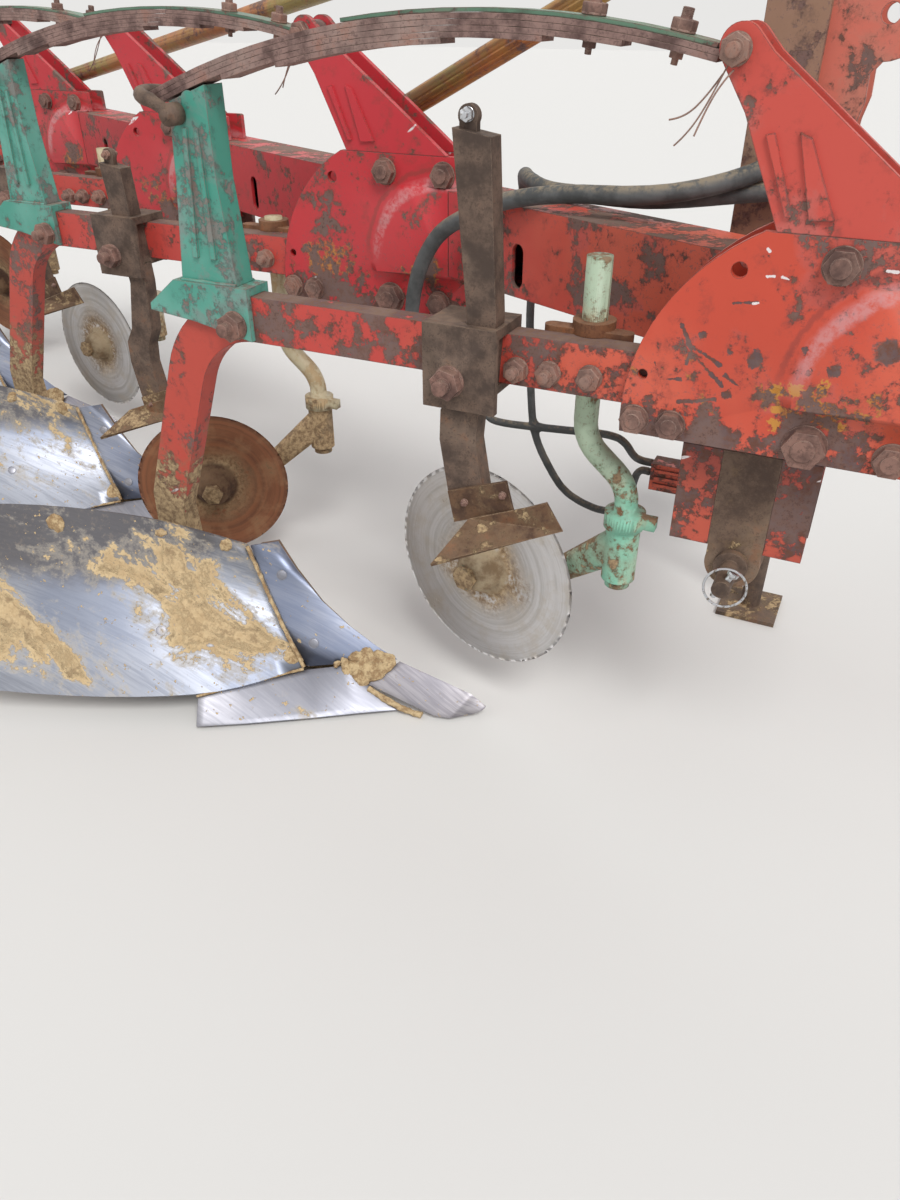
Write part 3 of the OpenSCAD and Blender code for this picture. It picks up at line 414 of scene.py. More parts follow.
def discFinish(name, centre, look):
    f = Finish(name)
    seed = look["seed"]
    reach = f.gap(f.place, centre)
    broad = f.grain(6, 5, 0.6, seed)
    patch = f.grain(18, 7, 0.68, seed + 3)
    fine = f.grain(110, 5, 0.7, seed + 5)
    rings = f.node("CombineXYZ", {}, {0: reach * 60 + patch * 0.5, 1: broad * 1.2, 2: seed})
    turned = f.node("TexNoise", {}, {"Vector": rings, "Scale": 1.6, "Detail": 4.0, "Roughness": 0.6})
    colour = f.blend(f.rise(turned, 0.35, 0.65), look["bright"], look["grey"])
    colour = f.blend(f.rise(patch, 0.45, 0.66) * 0.55, colour, look["mottle"])
    # earth round the hub thins out towards the rim, which the soil keeps bright
    ragged = reach + (patch - 0.5) * 0.09 + (broad - 0.5) * 0.12
    hubSoil = f.rise(ragged, look["soilReach"] + 0.05, look["soilReach"] - 0.02)
    spots = f.rise(patch * 0.6 + fine * 0.4, look["spotFrom"], look["spotFrom"] + 0.04) * 0.55
    rim = f.rise(reach, look["rim"] - 0.02, look["rim"] - 0.004)
    soil = f.most(hubSoil * f.rise(fine * 0.5 + patch * 0.5, 0.36, 0.5), spots * (1 - rim))
    colour = f.blend(rim * look["rimShine"], colour, look["rimTone"])
    colour = f.blend(soil, colour, crumbly(f, fine, look))
    hub = f.rise(reach, 0.062, 0.05)
    colour = f.blend(hub, colour, f.blend(f.rise(patch, 0.4, 0.6), look["hub"], look["hubDeep"]))
    rough = look["rough"] + turned * 0.12 + soil * 0.35 + hub * 0.3
    height = turned * 0.05 + soil * (0.15 + fine * 0.4) + hub * fine * 0.5
    metal = look["metal"] * (1 - soil) * (1 - hub)
    return f.close(colour, f.least(rough, 0.95), metal, height, 0.0009)


# the crimson is painted shade: the red of the rear bodies where they stand in shade
redTones = {"paint": (196, 72, 50), "faded": (206, 92, 68), "blush": (194, 92, 84), "dark": (132, 56, 48),
            "shadeCrimson": (192, 36, 52)}
# millimetres from the first body's head bolt, each with its width
plateMarks = {
    "arch": (122, 764), "crownTone": (204, 150, 150),
    "scratches": [((-181, 828), (-163, 797), 2.6), ((-169, 802), (-124, 781), 2.2),
                  ((-162, 792), (-114, 751), 2.2), ((-161, 796), (-167, 775), 1.8),
                  ((-209, 770), (-194, 738), 2.2), ((-113, 766), (-89, 753), 2.2),
                  ((-170, 720), (-122, 732), 2.6), ((-119, 861), (-89, 866), 1.6),
                  ((-208, 747), (-171, 753), 1.6)],
    "spots": [((-79, 793), 13), ((-107, 742), 8), ((20, 799), 8), ((75, 827), 19), ((-21, 814), 5),
              ((-11, 789), 5), ((-151, 815), 4), ((-113, 802), 5), ((-46, 853), 4)],
    "ochre": [((-46, 757), 8), ((-20, 764), 9), ((10, 772), 8), ((-38, 732), 5), ((-38, 712), 7),
              ((42, 722), 7)],
    # these strokes are painted highlights
    "glintStrokes": [((-84, 898), (-75, 899), 2.4), ((-65, 899), (-57, 897), 2.6), ((-94, 864), (-88, 865), 1.6),
              ((-89, 930), (-86, 927), 2.2), ((50, 918), (62, 918), 1.8)]}
redPaint = paintFinish("worn_red_paint", {
    **redTones, "chipFrom": 0.535, "edgeWear": 1.2, "topWear": 0.05, "dust": 0.45, "seed": 1.3})
headPaint = paintFinish("head_plate_paint", {
    **redTones, "ochre": (196, 136, 56), "marks": plateMarks, "chipFrom": 0.545, "lowWear": 0.735,
    "dust": 0.3, "seed": 2.9})
armPaint = paintFinish("spring_arm_paint", {
    **redTones, "paint": (196, 76, 64), "faded": (202, 92, 82), "blush": (192, 106, 98),
    "chipFrom": 0.545, "edgeWear": 1.1, "topWear": 0.02, "dust": 0.3, "seed": 4.2})
beamPaint = paintFinish("beam_red_paint", {
    **redTones, "paint": (186, 74, 58), "shadeCrimson": (188, 62, 56), "chipFrom": 0.515, "topWear": 0.1,
    "dust": 0.5, "seed": 5.1})
legPaint = paintFinish("muddy_red_leg", {
    **redTones, "paint": (202, 80, 54), "shadeCrimson": (180, 66, 54), "chipFrom": 0.532, "edgeWear": 1.2,
    "mudTop": 0.44, "mudSlope": 1.4, "seed": 7.7})
hangerPaint = paintFinish("hitch_bar_paint", {
    **redTones, "paint": (166, 70, 56), "chipFrom": 0.48, "topWear": 0.04, "mudTop": 0.3,
    "mudSlope": 1.0, "seed": 8.4})
mastPaint = paintFinish("faded_mast_paint", {
    "paint": (206, 110, 92), "faded": (204, 132, 114), "blush": (190, 128, 110), "dark": (140, 84, 68),
    "grimeTone": (156, 96, 80), "chipFrom": 0.555, "seed": 9.2})
postPaint = paintFinish("brown_post_paint", {
    "paint": (132, 98, 80), "faded": (148, 114, 92), "blush": (156, 120, 100), "dark": (92, 68, 58),
    "grimeTone": (104, 78, 66), "chipFrom": 0.56, "dust": 0.5, "seed": 11.2})
stayPaint = paintFinish("ochre_stay_paint", {
    "paint": (176, 112, 58), "faded": (150, 132, 70), "blush": (186, 98, 58), "dark": (128, 70, 46),
    "grimeTone": (110, 92, 56), "chipFrom": 0.57, "edgeWear": 0.6, "topWear": 0.02, "dust": 0.5,
    "seed": 13.5})
tealPaint = paintFinish("worn_teal_paint", {
    "paint": (68, 146, 128), "faded": (100, 164, 148), "blush": (122, 136, 130), "dark": (52, 92, 86),
    "blushed": 0.9, "grimeTone": (78, 92, 78), "chipFrom": 0.538, "edgeWear": 1.8, "seed": 17.1,
    "bare": (116, 118, 114), "rust": (128, 108, 98), "pale": (140, 142, 136), "deep": (82, 78, 74)})
mintPaint = paintFinish("mint_stem_paint", {
    "paint": (120, 188, 162), "faded": (172, 190, 164), "blush": (188, 182, 152), "dark": (104, 128, 104),
    "blushed": 0.9, "grimeTone": (168, 150, 118), "caked": (196, 180, 148), "chipFrom": 0.53,
    "edgeWear": 0.4, "topWear": 0.02, "dust": 0.5, "mudTop": 0.38, "mudSlope": 1.3, "seed": 19.4,
    "bare": (128, 104, 82), "rust": (132, 92, 62), "pale": (164, 148, 118), "deep": (86, 66, 54)})
springPaint = paintFinish("green_spring_plate", {
    "paint": (68, 102, 82), "faded": (88, 120, 98), "blush": (112, 122, 102), "dark": (56, 66, 54),
    "grimeTone": (92, 92, 74), "chipFrom": 0.55, "edgeWear": 1.4, "topWear": 0.0, "dust": 0.45,
    "seed": 23.4})

darkRust = rustFinish("dark_rust", {
    "deep": (72, 58, 50), "rust": (110, 90, 77), "pale": (132, 112, 97), "tint": (132, 90, 64),
    "rubbed": (150, 130, 112), "dust": 0.45, "mudTop": 0.3, "mudSlope": 0.7, "seed": 31.0})
boltRust = rustFinish("bolt_rust", {
    "deep": (92, 68, 62), "rust": (144, 110, 98), "pale": (164, 134, 120), "tint": (146, 94, 74),
    "rubbed": (188, 164, 150), "edgeRadius": 0.0015, "edgeWear": 0.8, "metal": 0.25, "dust": 0.3,
    "mudTop": 0.12, "seed": 32.0})
leafRust = rustFinish("spring_leaf_rust", {
    "deep": (86, 64, 60), "rust": (148, 120, 112), "pale": (174, 150, 140), "tint": (146, 102, 86),
    "rubbed": (176, 152, 136), "edgeRadius": 0.0012, "edgeWear": 0.6, "metal": 0.25, "dust": 0.35,
    "seed": 33.0})
orangeRust = rustFinish("orange_rust", {
    "deep": (86, 54, 38), "rust": (126, 82, 54), "pale": (150, 108, 76), "tint": (148, 84, 46),
    "rubbed": (170, 130, 100), "metal": 0.1, "seed": 37.0})
bladeRust = rustFinish("blade_rust", {
    "deep": (72, 50, 38), "rust": (104, 76, 54), "pale": (140, 112, 84), "tint": (132, 76, 44),
    "rubbed": (176, 150, 120), "edgeWear": 0.8, "mudTop": 0.42, "mudSlope": 0.5, "seed": 39.0})
blockRust = rustFinish("hitch_block_rust", {
    "deep": (84, 66, 56), "rust": (118, 96, 80), "pale": (146, 124, 104), "tint": (138, 92, 64),
    "rubbed": (172, 154, 134), "metal": 0.15, "dust": 0.6, "mudTop": 0.4, "mudSlope": 0.8,
    "seed": 45.0})
standRust = rustFinish("stand_rust", {
    "deep": (62, 50, 44), "rust": (96, 78, 66), "pale": (118, 98, 84), "tint": (126, 82, 56),
    "rubbed": (156, 136, 118), "mudTop": 0.0, "mudSlope": 1.6, "seed": 47.0})
underRust = rustFinish("earthy_rust", {
    "deep": (78, 60, 48), "rust": (112, 86, 64), "pale": (140, 114, 88), "tint": (130, 84, 54),
    "rubbed": (160, 140, 116), "edgeWear": 0.4, "metal": 0.1, "dust": 0.6, "mudTop": 0.2,
    "mudSlope": 1.2, "seed": 41.0})
mudArm = rustFinish("muddy_arm", {
    "deep": (138, 114, 86), "rust": (174, 150, 116), "pale": (192, 170, 134), "tint": (160, 132, 98),
    "rubbed": (188, 168, 138), "edgeWear": 0.3, "metal": 0.0, "dust": 0.6, "mudTop": 0.5,
    "mudSlope": 0.8, "seed": 43.0})

dullTones = {"dull": (120, 120, 126), "dullSpeck": (140, 130, 120), "dullFrom": 0.6}
boardSteel = boardFinish("scoured_board", {
    "bright": (148, 151, 160), "grey": (124, 127, 136), "blue": (116, 123, 140), "dull": (88, 84, 84),
    "dullSpeck": (128, 116, 102), "dullFrom": 0.35, "mudLow": 0.1, "mudHigh": 0.36, "mudFrom": 0.565,
    "seed": 51.0})
shinSteel = boardFinish("scoured_shin", {
    "bright": (148, 152, 165), "grey": (122, 127, 142), "blue": (110, 120, 144), "dull": (100, 104, 116),
    "dullSpeck": (140, 140, 140), "dullFrom": 0.42, "mudLow": 0.02, "mudHigh": 0.12, "mudFrom": 0.62,
    "seed": 55.0})
shareSteel = boardFinish("scoured_share", {
    "bright": (150, 149, 155), "grey": (128, 127, 133), "blue": (130, 132, 142), **dullTones,
    "mudLow": 0.03, "mudHigh": 0.1, "mudFrom": 0.63, "seed": 57.0})
pointSteel = boardFinish("scoured_point", {
    "bright": (168, 164, 168), "grey": (126, 122, 128), "blue": (140, 138, 146), **dullTones,
    "mudLow": 0.0, "mudHigh": 0.01, "mudFrom": 0.7, "rough": 0.4, "seed": 58.0})


hoseLook = {"tone": (70, 72, 72), "faded": (104, 106, 106), "dust": 0.7, "dustTone": (150, 134, 108)}


def hoseFinish(look):
    f = Finish("weathered_hose")
    patch = f.grain(12, 6, 0.65, 71)
    fine = f.grain(110, 5, 0.7, 73)
    colour = f.blend(f.rise(patch, 0.42, 0.6) * 0.6, look["tone"], look["faded"])
    dusty = f.rise(f.up(), 0.1, 0.9) * f.rise(patch * 0.5 + fine * 0.5, 0.42, 0.56)
    colour = f.blend(dusty * look["dust"], colour, look["dustTone"])
    return f.close(colour, 0.55 + fine * 0.3, 0.0, fine * 0.6 + patch * 0.5, 0.0005)


nutLook = {"bright": (200, 202, 206), "specks": (128, 118, 108)}


def nutFinish(look):
    f = Finish("bright_nut")
    fine = f.grain(160, 4, 0.6, 81)
    colour = f.blend(f.rise(fine, 0.5, 0.66), look["bright"], look["specks"])
    return f.close(colour, 0.22 + fine * 0.2, 1.0, fine, 0.0002)


soilLook = {"dark": (150, 122, 88), "dry": (198, 174, 134), "specks": (112, 90, 66)}


def soilFinish(look):
    f = Finish("dried_soil")
    clumps = f.grain(60, 8, 0.75, 91)
    fine = f.grain(240, 5, 0.7, 93)
    colour = f.blend(f.rise(clumps, 0.4, 0.6), look["dark"], look["dry"])
    colour = f.blend(f.rise(fine, 0.54, 0.66) * 0.6, colour, look["specks"])
    return f.close(colour, 0.95, 0.0, clumps * 1.2 + fine * 0.5, 0.0018)


hoseRubber = hoseFinish(hoseLook)
brightNut = nutFinish(nutLook)
driedSoil = soilFinish(soilLook)

# scoured bright, or rusty where the blade has stood idle; reaches in metres from the axle
silverDisc = {"bright": (206, 204, 204), "grey": (180, 177, 174), "mottle": (186, 176, 162), "soilReach": 0.07,
              "spotFrom": 0.61, "rim": 0.27, "rimShine": 0.7, "rimTone": (226, 226, 230), "rough": 0.36,
              "metal": 0.75, "hub": (172, 154, 126), "hubDeep": (132, 110, 84), **earthTones}
rustyDisc = {"bright": (148, 96, 66), "grey": (122, 80, 58), "mottle": (168, 126, 92), "soilReach": 0.06,
             "spotFrom": 0.6, "rim": 0.24, "rimShine": 0.6, "rimTone": (170, 146, 124), "rough": 0.6,
             "metal": 0.25, "hub": (122, 96, 72), "hubDeep": (80, 58, 44), **earthTones}
discFinishes = {}
for joint in frame["joints"]:
    if joint["child"].startswith("coulter_disc"):
        number = int(joint["child"][-1])
        look = {**(silverDisc if number % 2 else rustyDisc), "seed": 60.0 + number}
        discFinishes[joint["child"]] = discFinish("disc_steel_%d" % number, joint["pos_m"], look)

nodeFinishes = dict(discFinishes)
for finish, names in [
        (redPaint, "frame_beam cross_beam stand_socket"), (headPaint, "head_plates"), (armPaint, "spring_arms"),
        (beamPaint, "body_beams"), (legPaint, "legs"), (hangerPaint, "hitch_brackets"),
        (mastPaint, "mast_plates"), (postPaint, "mast_posts"), (stayPaint, "mast_stays"),
        (tealPaint, "spring_struts strut_saddles"), (mintPaint, "coulter_stems coulter_arm_1 coulter_arm_3"),
        (springPaint, "spring_plates"), (blockRust, "hitch_blocks"), (standRust, "stand_leg"),
        (darkRust, "hitch_pins spring_shackles skimmer_clamps skimmer_shanks"), (leafRust, "leaf_springs"),
        (boltRust, "head_bolts spring_pins"), (orangeRust, "coulter_clamps"), (bladeRust, "skimmer_blades"),
        (underRust, "frogs landsides board_stays"), (mudArm, "coulter_arm_2 coulter_arm_4"),
        (boardSteel, "mouldboards"), (shinSteel, "shins"), (shareSteel, "shares"), (pointSteel, "points"),
        (hoseRubber, "hoses")]:
    for nodeName in names.split():
        nodeFinishes[nodeName] = finish
for nodeName, finish in nodeFinishes.items():
    nodes[nodeName].data.materials.clear()
    nodes[nodeName].data.materials.append(finish)
print("finishes on", len(nodeFinishes), "of", len(nodes), "nodes")


def only(*things):
    bpy.ops.object.select_all(action="DESELECT")
    for thing in things:
        thing.select_set(True)
    bpy.context.view_layer.objects.active = things[0]


def openFaces(piece, wanted):
    # edit mode with the faces that pass the test selected
    only(piece)
    bpy.ops.object.mode_set(mode="EDIT")
    bpy.ops.mesh.select_mode(type="FACE")
    bpy.ops.mesh.select_all(action="DESELECT")
    form = bmesh.from_edit_mesh(piece.data)
    for face in form.faces:
        face.select_set(bool(wanted(face)))
    bmesh.update_edit_mesh(piece.data)


def faceUp(face):
    return face.normal.z > 0.9


def discEnd(face):
    return len(face.verts) > 4


def everyFace(face):
    return True


def closeFaces(outwards=False):
    # back to object mode; outwards after doubles are merged
    if outwards:
        bpy.ops.mesh.select_all(action="SELECT")
        bpy.ops.mesh.remove_doubles(threshold=0.00001)
        bpy.ops.mesh.normals_make_consistent(inside=False)
    bpy.ops.object.mode_set(mode="OBJECT")


def softened(piece, wanted, wide, steps):
    # a bevel along the edges of the faces that pass the test
    openFaces(piece, wanted)
    bpy.ops.mesh.bevel(offset=wide, segments=steps)
    closeFaces()
    return piece


def cylinder(corners, radius, depth, place=(0, 0, 0), lean=(0, 0, 0)):
    bpy.ops.mesh.primitive_cylinder_add(vertices=corners, radius=radius, depth=depth, location=place,
                                        rotation=[math.radians(a) for a in lean])
    return bpy.context.object


def applied(piece):
    only(piece)
    bpy.ops.object.transform_apply(location=True, rotation=True, scale=True)
    return piece


def settle(piece, name, finish, body="plough", smooth=32):
    # place goes into the mesh, finish and body on the piece
    piece.name = name
    piece.data.name = name
    applied(piece)
    bpy.ops.object.shade_smooth_by_angle(angle=math.radians(smooth))
    piece.data.materials.clear()
    piece.data.materials.append(finish)
    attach(piece, body)
    return piece


def joined(parts):
    only(*parts)
    if len(parts) > 1:
        bpy.ops.object.join()
    return bpy.context.object


def facing(place, direction, turnBy=0.0, size=1.0):
    # a matrix that stands a master on a place, its Z along the direction
    stand = Vector(direction).normalized().to_track_quat("Z", "Y").to_matrix().to_4x4()
    return Matrix.Translation(place) @ stand @ Matrix.Rotation(turnBy, 4, "Z") @ Matrix.Scale(size, 4)


def copies(master, places, name, finish):
    # one piece from a master laid at each place
    laid = []
    for place in places:
        twin = master.copy()
        twin.data = master.data.copy()
        twin.data.transform(place)
        bpy.context.collection.objects.link(twin)
        laid.append(twin)
    return settle(joined(laid), name, finish)


def roughen(piece, size, strength, depth=2):
    # lumps from a clouds texture, applied
    lumps = bpy.data.textures.new(piece.name + "_lumps", "CLOUDS")
    lumps.noise_scale = size
    lumps.noise_depth = depth
    only(piece)
    shaper = piece.modifiers.new("lumps", "DISPLACE")
    shaper.texture = lumps
    shaper.texture_coords = "GLOBAL"
    shaper.strength = strength
    bpy.ops.object.modifier_apply(modifier="lumps")


# the CAD's curved pieces smoothed in copies, up to these angles; the swinging ones have bodies of their own
smoothed = {"mouldboards": 40, "shins": 40, "hoses": 60, "coulter_stems": 35, "spring_shackles": 50, "legs": 30,
            "leaf_springs": 30, "spring_plates": 30, "mast_stays": 30, "head_plates": 24, "skimmer_clamps": 30}
swinging = {}
for number in range(1, bodyCount + 1):
    swinging["coulter_arm_%d" % number] = 38
    swinging["coulter_disc_%d" % number] = 30
smoothed.update(swinging)
smoothCopies = {}
for nodeName, angle in smoothed.items():
    twin = nodes[nodeName].copy()
    twin.data = nodes[nodeName].data.copy()
    twin.parent = None
    bpy.context.collection.objects.link(twin)
    openFaces(twin, everyFace)
    bpy.ops.mesh.remove_doubles(threshold=0.00002)
    closeFaces()
    if nodeName == "hoses":
        # rounder hoses from the coarse tube
        rounder = twin.modifiers.new("rounder", "SUBSURF")
        rounder.levels = rounder.render_levels = 1
        bpy.ops.object.modifier_apply(modifier="rounder")
    body = nodeName if nodeName in swinging else "plough"
    settle(twin, nodeName + "_smooth", nodeFinishes[nodeName], body, angle)
    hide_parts(nodeName)
    smoothCopies[nodeName] = twin
print("smoothed", len(smoothed), "nodes")

# bar points and shares, ground smooth by the soil: each station is a low and a high corner in the
# first body's own millimetres, the rest is in metres
barPoint = {"stations": [((-698, -46, 44), (-650, 2, 84)), ((-553, -40, 10), (-540, 8.5, 58)),
                         ((-523, -31, 8), (-497, 11, 47.5)), ((-494, -6, 8), (-466, 16, 24))],
            "thick": 0.012, "crown": 0.0015, "nose": 0.006, "noseFrom": 0.8}
shareBlade = {"stations": [((-956, -268, 9), (-974, -230, 50)), ((-872, -217, 9), (-898, -154, 56)),
                           ((-770, -150, 9), (-822, -78, 62)), ((-690, -96, 9), (-748, -43, 73)),
                           ((-628, -55, 9), (-690, -42, 38))],
              "thick": 0.008, "crown": 0.001, "nose": 0.0, "noseFrom": 0.8}
worn = {"across": 8, "along": 28, "edge": 0.0012, "bulge": (0.2, -0.75, 0.6)}


def station(stations, t):
    # the low and high corner at t, 0 to 1 from the first station to the last
    place = t * (len(stations) - 1)
    first = min(int(place), len(stations) - 2)
    pairs = zip(stations[first], stations[first + 1])
    return [Vector(a).lerp(Vector(b), place - first) for a, b in pairs]


def lofted(name, look, node, finish):
    # a bulged sheet over the stations, with its wall on the side away from the furrow
    made = []
    for body in range(bodyCount):
        bpy.ops.mesh.primitive_grid_add(x_subdivisions=worn["along"], y_subdivisions=worn["across"], size=2)
        blade = bpy.context.object
        for vertex in blade.data.vertices:
            t, u = (vertex.co.x + 1) / 2, (vertex.co.y + 1) / 2
            low, high = station(look["stations"], t)
            vertex.co = onBody(body, *low.lerp(high, u))
            rise = 4 * u * (1 - u)
            vertex.co += Vector(worn["bulge"]) * look["crown"] * rise
            vertex.co.x += look["nose"] * rise * max(0, t - look["noseFrom"]) * 5
        openFaces(blade, everyFace)
        closeFaces(outwards=True)
        shown = sum(face.normal.y for face in blade.data.polygons) < 0
        wall = blade.modifiers.new("wall", "SOLIDIFY")
        wall.thickness = look["thick"]
        wall.offset = -1 if shown else 1
        wall.use_even_offset = True
        bpy.ops.object.modifier_apply(modifier="wall")
        rim = blade.modifiers.new("rim", "BEVEL")
        rim.width = worn["edge"]
        rim.segments = 2
        rim.angle_limit = math.radians(50)
        bpy.ops.object.modifier_apply(modifier="rim")
        openFaces(blade, everyFace)
        closeFaces(outwards=True)
        made.append(blade)
    blades = settle(joined(made), name, finish, smooth=38)
    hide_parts(node)


lofted("worn_points", barPoint, "points", pointSteel)
lofted("worn_shares", shareBlade, "shares", shareSteel)
print("points and shares ground smooth")

# bolts: one master in metres, copied to places in the first body's own millimetres
boltSizes = {"washer": 0.0186, "washerThick": 0.0026, "washerEdge": 0.0008, "corner": 0.0188, "tall": 0.0135,
             "cornerEdge": 0.0018, "thread": 0.0088, "threadTall": 0.011, "neck": 0.002, "pitch": 0.0022,
             "groove": 0.93, "tip": 0.001}


def grown(height, width):
    # the selected end drawn up, then scaled
    bpy.ops.mesh.extrude_region_move(TRANSFORM_OT_translate={"value": (0, 0, height)})
    bpy.ops.transform.resize(value=(width, width, 1))


def modelBolt(sizes):
    # washer on the XY plane, nut on it and the threaded end above
    low, neck = sizes["washerThick"], sizes["neck"]
    top = low + sizes["tall"]
    washer = softened(cylinder(28, sizes["washer"], low, (0, 0, low / 2)), faceUp, sizes["washerEdge"], 1)
    nut = cylinder(6, sizes["corner"], sizes["tall"], (0, 0, (low + top) / 2))
    softened(nut, faceUp, sizes["cornerEdge"], 2)
    end = cylinder(18, sizes["thread"], neck, (0, 0, top + neck / 2))
    openFaces(end, faceUp)
    height = neck
    while height < sizes["threadTall"]:
        grown(sizes["pitch"] / 2, sizes["groove"])
        grown(sizes["pitch"] / 2, 1 / sizes["groove"])
        height += sizes["pitch"]
    grown(sizes["tip"], 0.8)
    closeFaces()
    return applied(joined([washer, nut, end]))


boltMaster = modelBolt(boltSizes)
right, left = (0, -1, 0), (0, 1, 0)
sides = ((-1, right), (1, left))

beamBolts = {"places": [(-417, 725), (-366, 727), (-303, 730)], "halfBeam": 20.0, "clampBack": 46.6,
             "nutSize": 0.92, "saddle": (-925, 728), "saddleFace": 30.4, "saddleSize": 1.3,
             "clampSpots": [-506, -692, -610, -590], "clampFace": 68.6, "clampHeight": 708, "clampSize": 1.32}
spots = []
for body in range(bodyCount):
    for index, (x, z) in enumerate(beamBolts["places"]):
        spin = 0.4 * index + 0.9 * body
        spots.append(facing(onBody(body, x, -beamBolts["halfBeam"], z), right, spin))
        behind = beamBolts["halfBeam"] if index == 0 else beamBolts["clampBack"]
        spots.append(facing(onBody(body, x, behind, z), left, spin + 0.5, beamBolts["nutSize"]))
    x, z = beamBolts["saddle"]
    for side, direction in sides:
        place = onBody(body, x, side * beamBolts["saddleFace"], z)
        spots.append(facing(place, direction, 0.5 * body, beamBolts["saddleSize"]))
    place = onBody(body, beamBolts["clampSpots"][body], -beamBolts["clampFace"], beamBolts["clampHeight"])
    spots.append(facing(place, right, 0.3 + body, beamBolts["clampSize"]))
copies(boltMaster, spots, "beam_bolts", boltRust)

# washers under the head plates' own bolts: place in millimetres, radius in metres
headWashers = {"face": 36.0, "thick": 0.003, "edge": 0.0008,
               "places": [((0, 919), 0.0235), ((122, 919), 0.0235), ((112, 688), 0.0235),
                          ((5, 688), 0.0295), ((-228, 686), 0.0213), ((-176, 686), 0.0213)]}
washerMaster = cylinder(36, 1, headWashers["thick"], (0, 0, headWashers["thick"] / 2))
applied(softened(washerMaster, faceUp, headWashers["edge"], 2))
spots = []
for body in range(bodyCount):
    for side, direction in sides:
        for (x, z), radius in headWashers["places"]:
            stand = facing(onBody(body, x, side * headWashers["face"], z), direction)
            spots.append(stand @ Matrix.Diagonal((radius, radius, 1, 1)))
copies(washerMaster, spots, "head_washers", boltRust)

# bolts through the leaf springs, on their curve, and on the spring pins; millimetres
springLook = {"centre": (-500, -278), "curve": 1450.0, "leafStep": 6.9, "plate": 5.7,
              "clampBolts": [(-345, 3), (-235, 2)], "clampSize": 0.82, "underSize": 0.5,
              "pin": (-162, 1138), "pinFace": 36.2, "pinSize": 0.95}
spots = []
for body in range(bodyCount):
    centreX, centreZ = springLook["centre"]
    for x, leaves in springLook["clampBolts"]:
        out = Vector((x - centreX, 0, 0))
        out.z = math.sqrt(springLook["curve"] ** 2 - out.x ** 2)
        lean = out.normalized()
        crown = out + lean * springLook["plate"]
        under = out - lean * springLook["leafStep"] * leaves
        for spot, way, size in ((crown, lean, "clampSize"), (under, -lean, "underSize")):
            place = onBody(body, centreX + spot.x, 0, centreZ + spot.z)
            spots.append(facing(place, way, 0.3 + body, springLook[size]))
    x, z = springLook["pin"]
    for side, direction in sides:
        place = onBody(body, x, side * springLook["pinFace"], z)
        spots.append(facing(place, direction, 0.6 * body, springLook["pinSize"]))
copies(boltMaster, spots, "spring_bolts", boltRust)


def wireLoop(name, points, thick, corners=2, lumps=0.0):
    # a bent wire or a bead along points, from a bevelled curve made a mesh
    line = bpy.data.curves.new(name, "CURVE")
    line.dimensions = "3D"
    line.bevel_depth = thick
    line.bevel_resolution = corners
    line.use_fill_caps = True
    run = line.splines.new("NURBS")
    run.points.add(len(points) - 1)
    for slot, point in zip(run.points, points):
        slot.co = (*point, 1)
    run.use_endpoint_u = True
    run.order_u = 3
    run.resolution_u = 6
    drawn = bpy.data.objects.new(name, line)
    bpy.context.collection.objects.link(drawn)
    only(drawn)
    bpy.ops.object.convert(target="MESH")
    drawn = bpy.context.object
    if lumps:
        roughen(drawn, thick * 2.2, lumps)
    return drawn


twine = {"starts": [(-168, -44, 1122), (-160, -46, 1118), (-172, -42, 1114)],
         "ends": [(-214, -62, 1040), (-190, -70, 1052), (-226, -50, 1066)],
         "sags": [(0, -0.004, -0.012), (0, -0.004, 0.008), (0, -0.004, -0.012)], "thick": 0.0011}
wires = []
for body in range(bodyCount):
    strands = 2 if body else 3
    for start, end, sag in list(zip(twine["starts"], twine["ends"], twine["sags"]))[:strands]:
        a, b, sag = onBody(body, *start), onBody(body, *end), Vector(sag)
        bent = [a, a.lerp(b, 0.3) + sag, a.lerp(b, 0.7) + sag, b]
        wires.append(wireLoop("strand", bent, twine["thick"]))
settle(joined(wires), "spring_pin_wires", boltRust)

# linch pins with their rings in the lower hitch pins; metres and degrees
linch = {"pinX": 1.954, "pinZ": 0.449, "ends": [(-0.4772, -1), (0.4878, 1)], "inset": 0.014, "lean": 28,
         "shaft": 0.0048, "shaftLong": 0.05, "shaftEdge": 0.0012, "knob": 0.009, "knobTall": 0.008,
         "knobEdge": 0.002, "knobAt": (0.0125, 0, 0.0235), "ringReach": 0.031, "ringThick": 0.0019,
         "ringAt": (0.006, 0.004, 0.008)}
for index, (endY, side) in enumerate(linch["ends"]):
    hole = Vector((linch["pinX"], endY - side * linch["inset"], linch["pinZ"]))
    lean = (0, linch["lean"], 0)
    shaft = cylinder(16, linch["shaft"], linch["shaftLong"], hole, lean)
    softened(shaft, discEnd, linch["shaftEdge"], 2)
    bpy.ops.mesh.primitive_circle_add(vertices=10, radius=linch["ringThick"],
                                      location=(linch["ringReach"], 0, 0), rotation=(math.radians(90), 0, 0))
    ring = applied(bpy.context.object)
    bpy.ops.object.mode_set(mode="EDIT")
    bpy.ops.mesh.select_all(action="SELECT")
    bpy.ops.mesh.spin(steps=40, angle=math.radians(360), center=(0, 0, 0), axis=(0, 0, 1))
    closeFaces(outwards=True)
    x, y, z = linch["ringAt"]
    middle = Vector((linch["pinX"] + x, endY + side * y, linch["pinZ"] + z))
    ring.data.transform(facing(middle, (0.12, side, 0.1)))
    knob = cylinder(16, linch["knob"], linch["knobTall"], hole + Vector(linch["knobAt"]), lean)
    softened(knob, discEnd, linch["knobEdge"], 2)
    settle(joined([shaft, ring, knob]), "linch_pin_%d" % (index + 1), brightNut)
print("bolts, washers and pins in place")

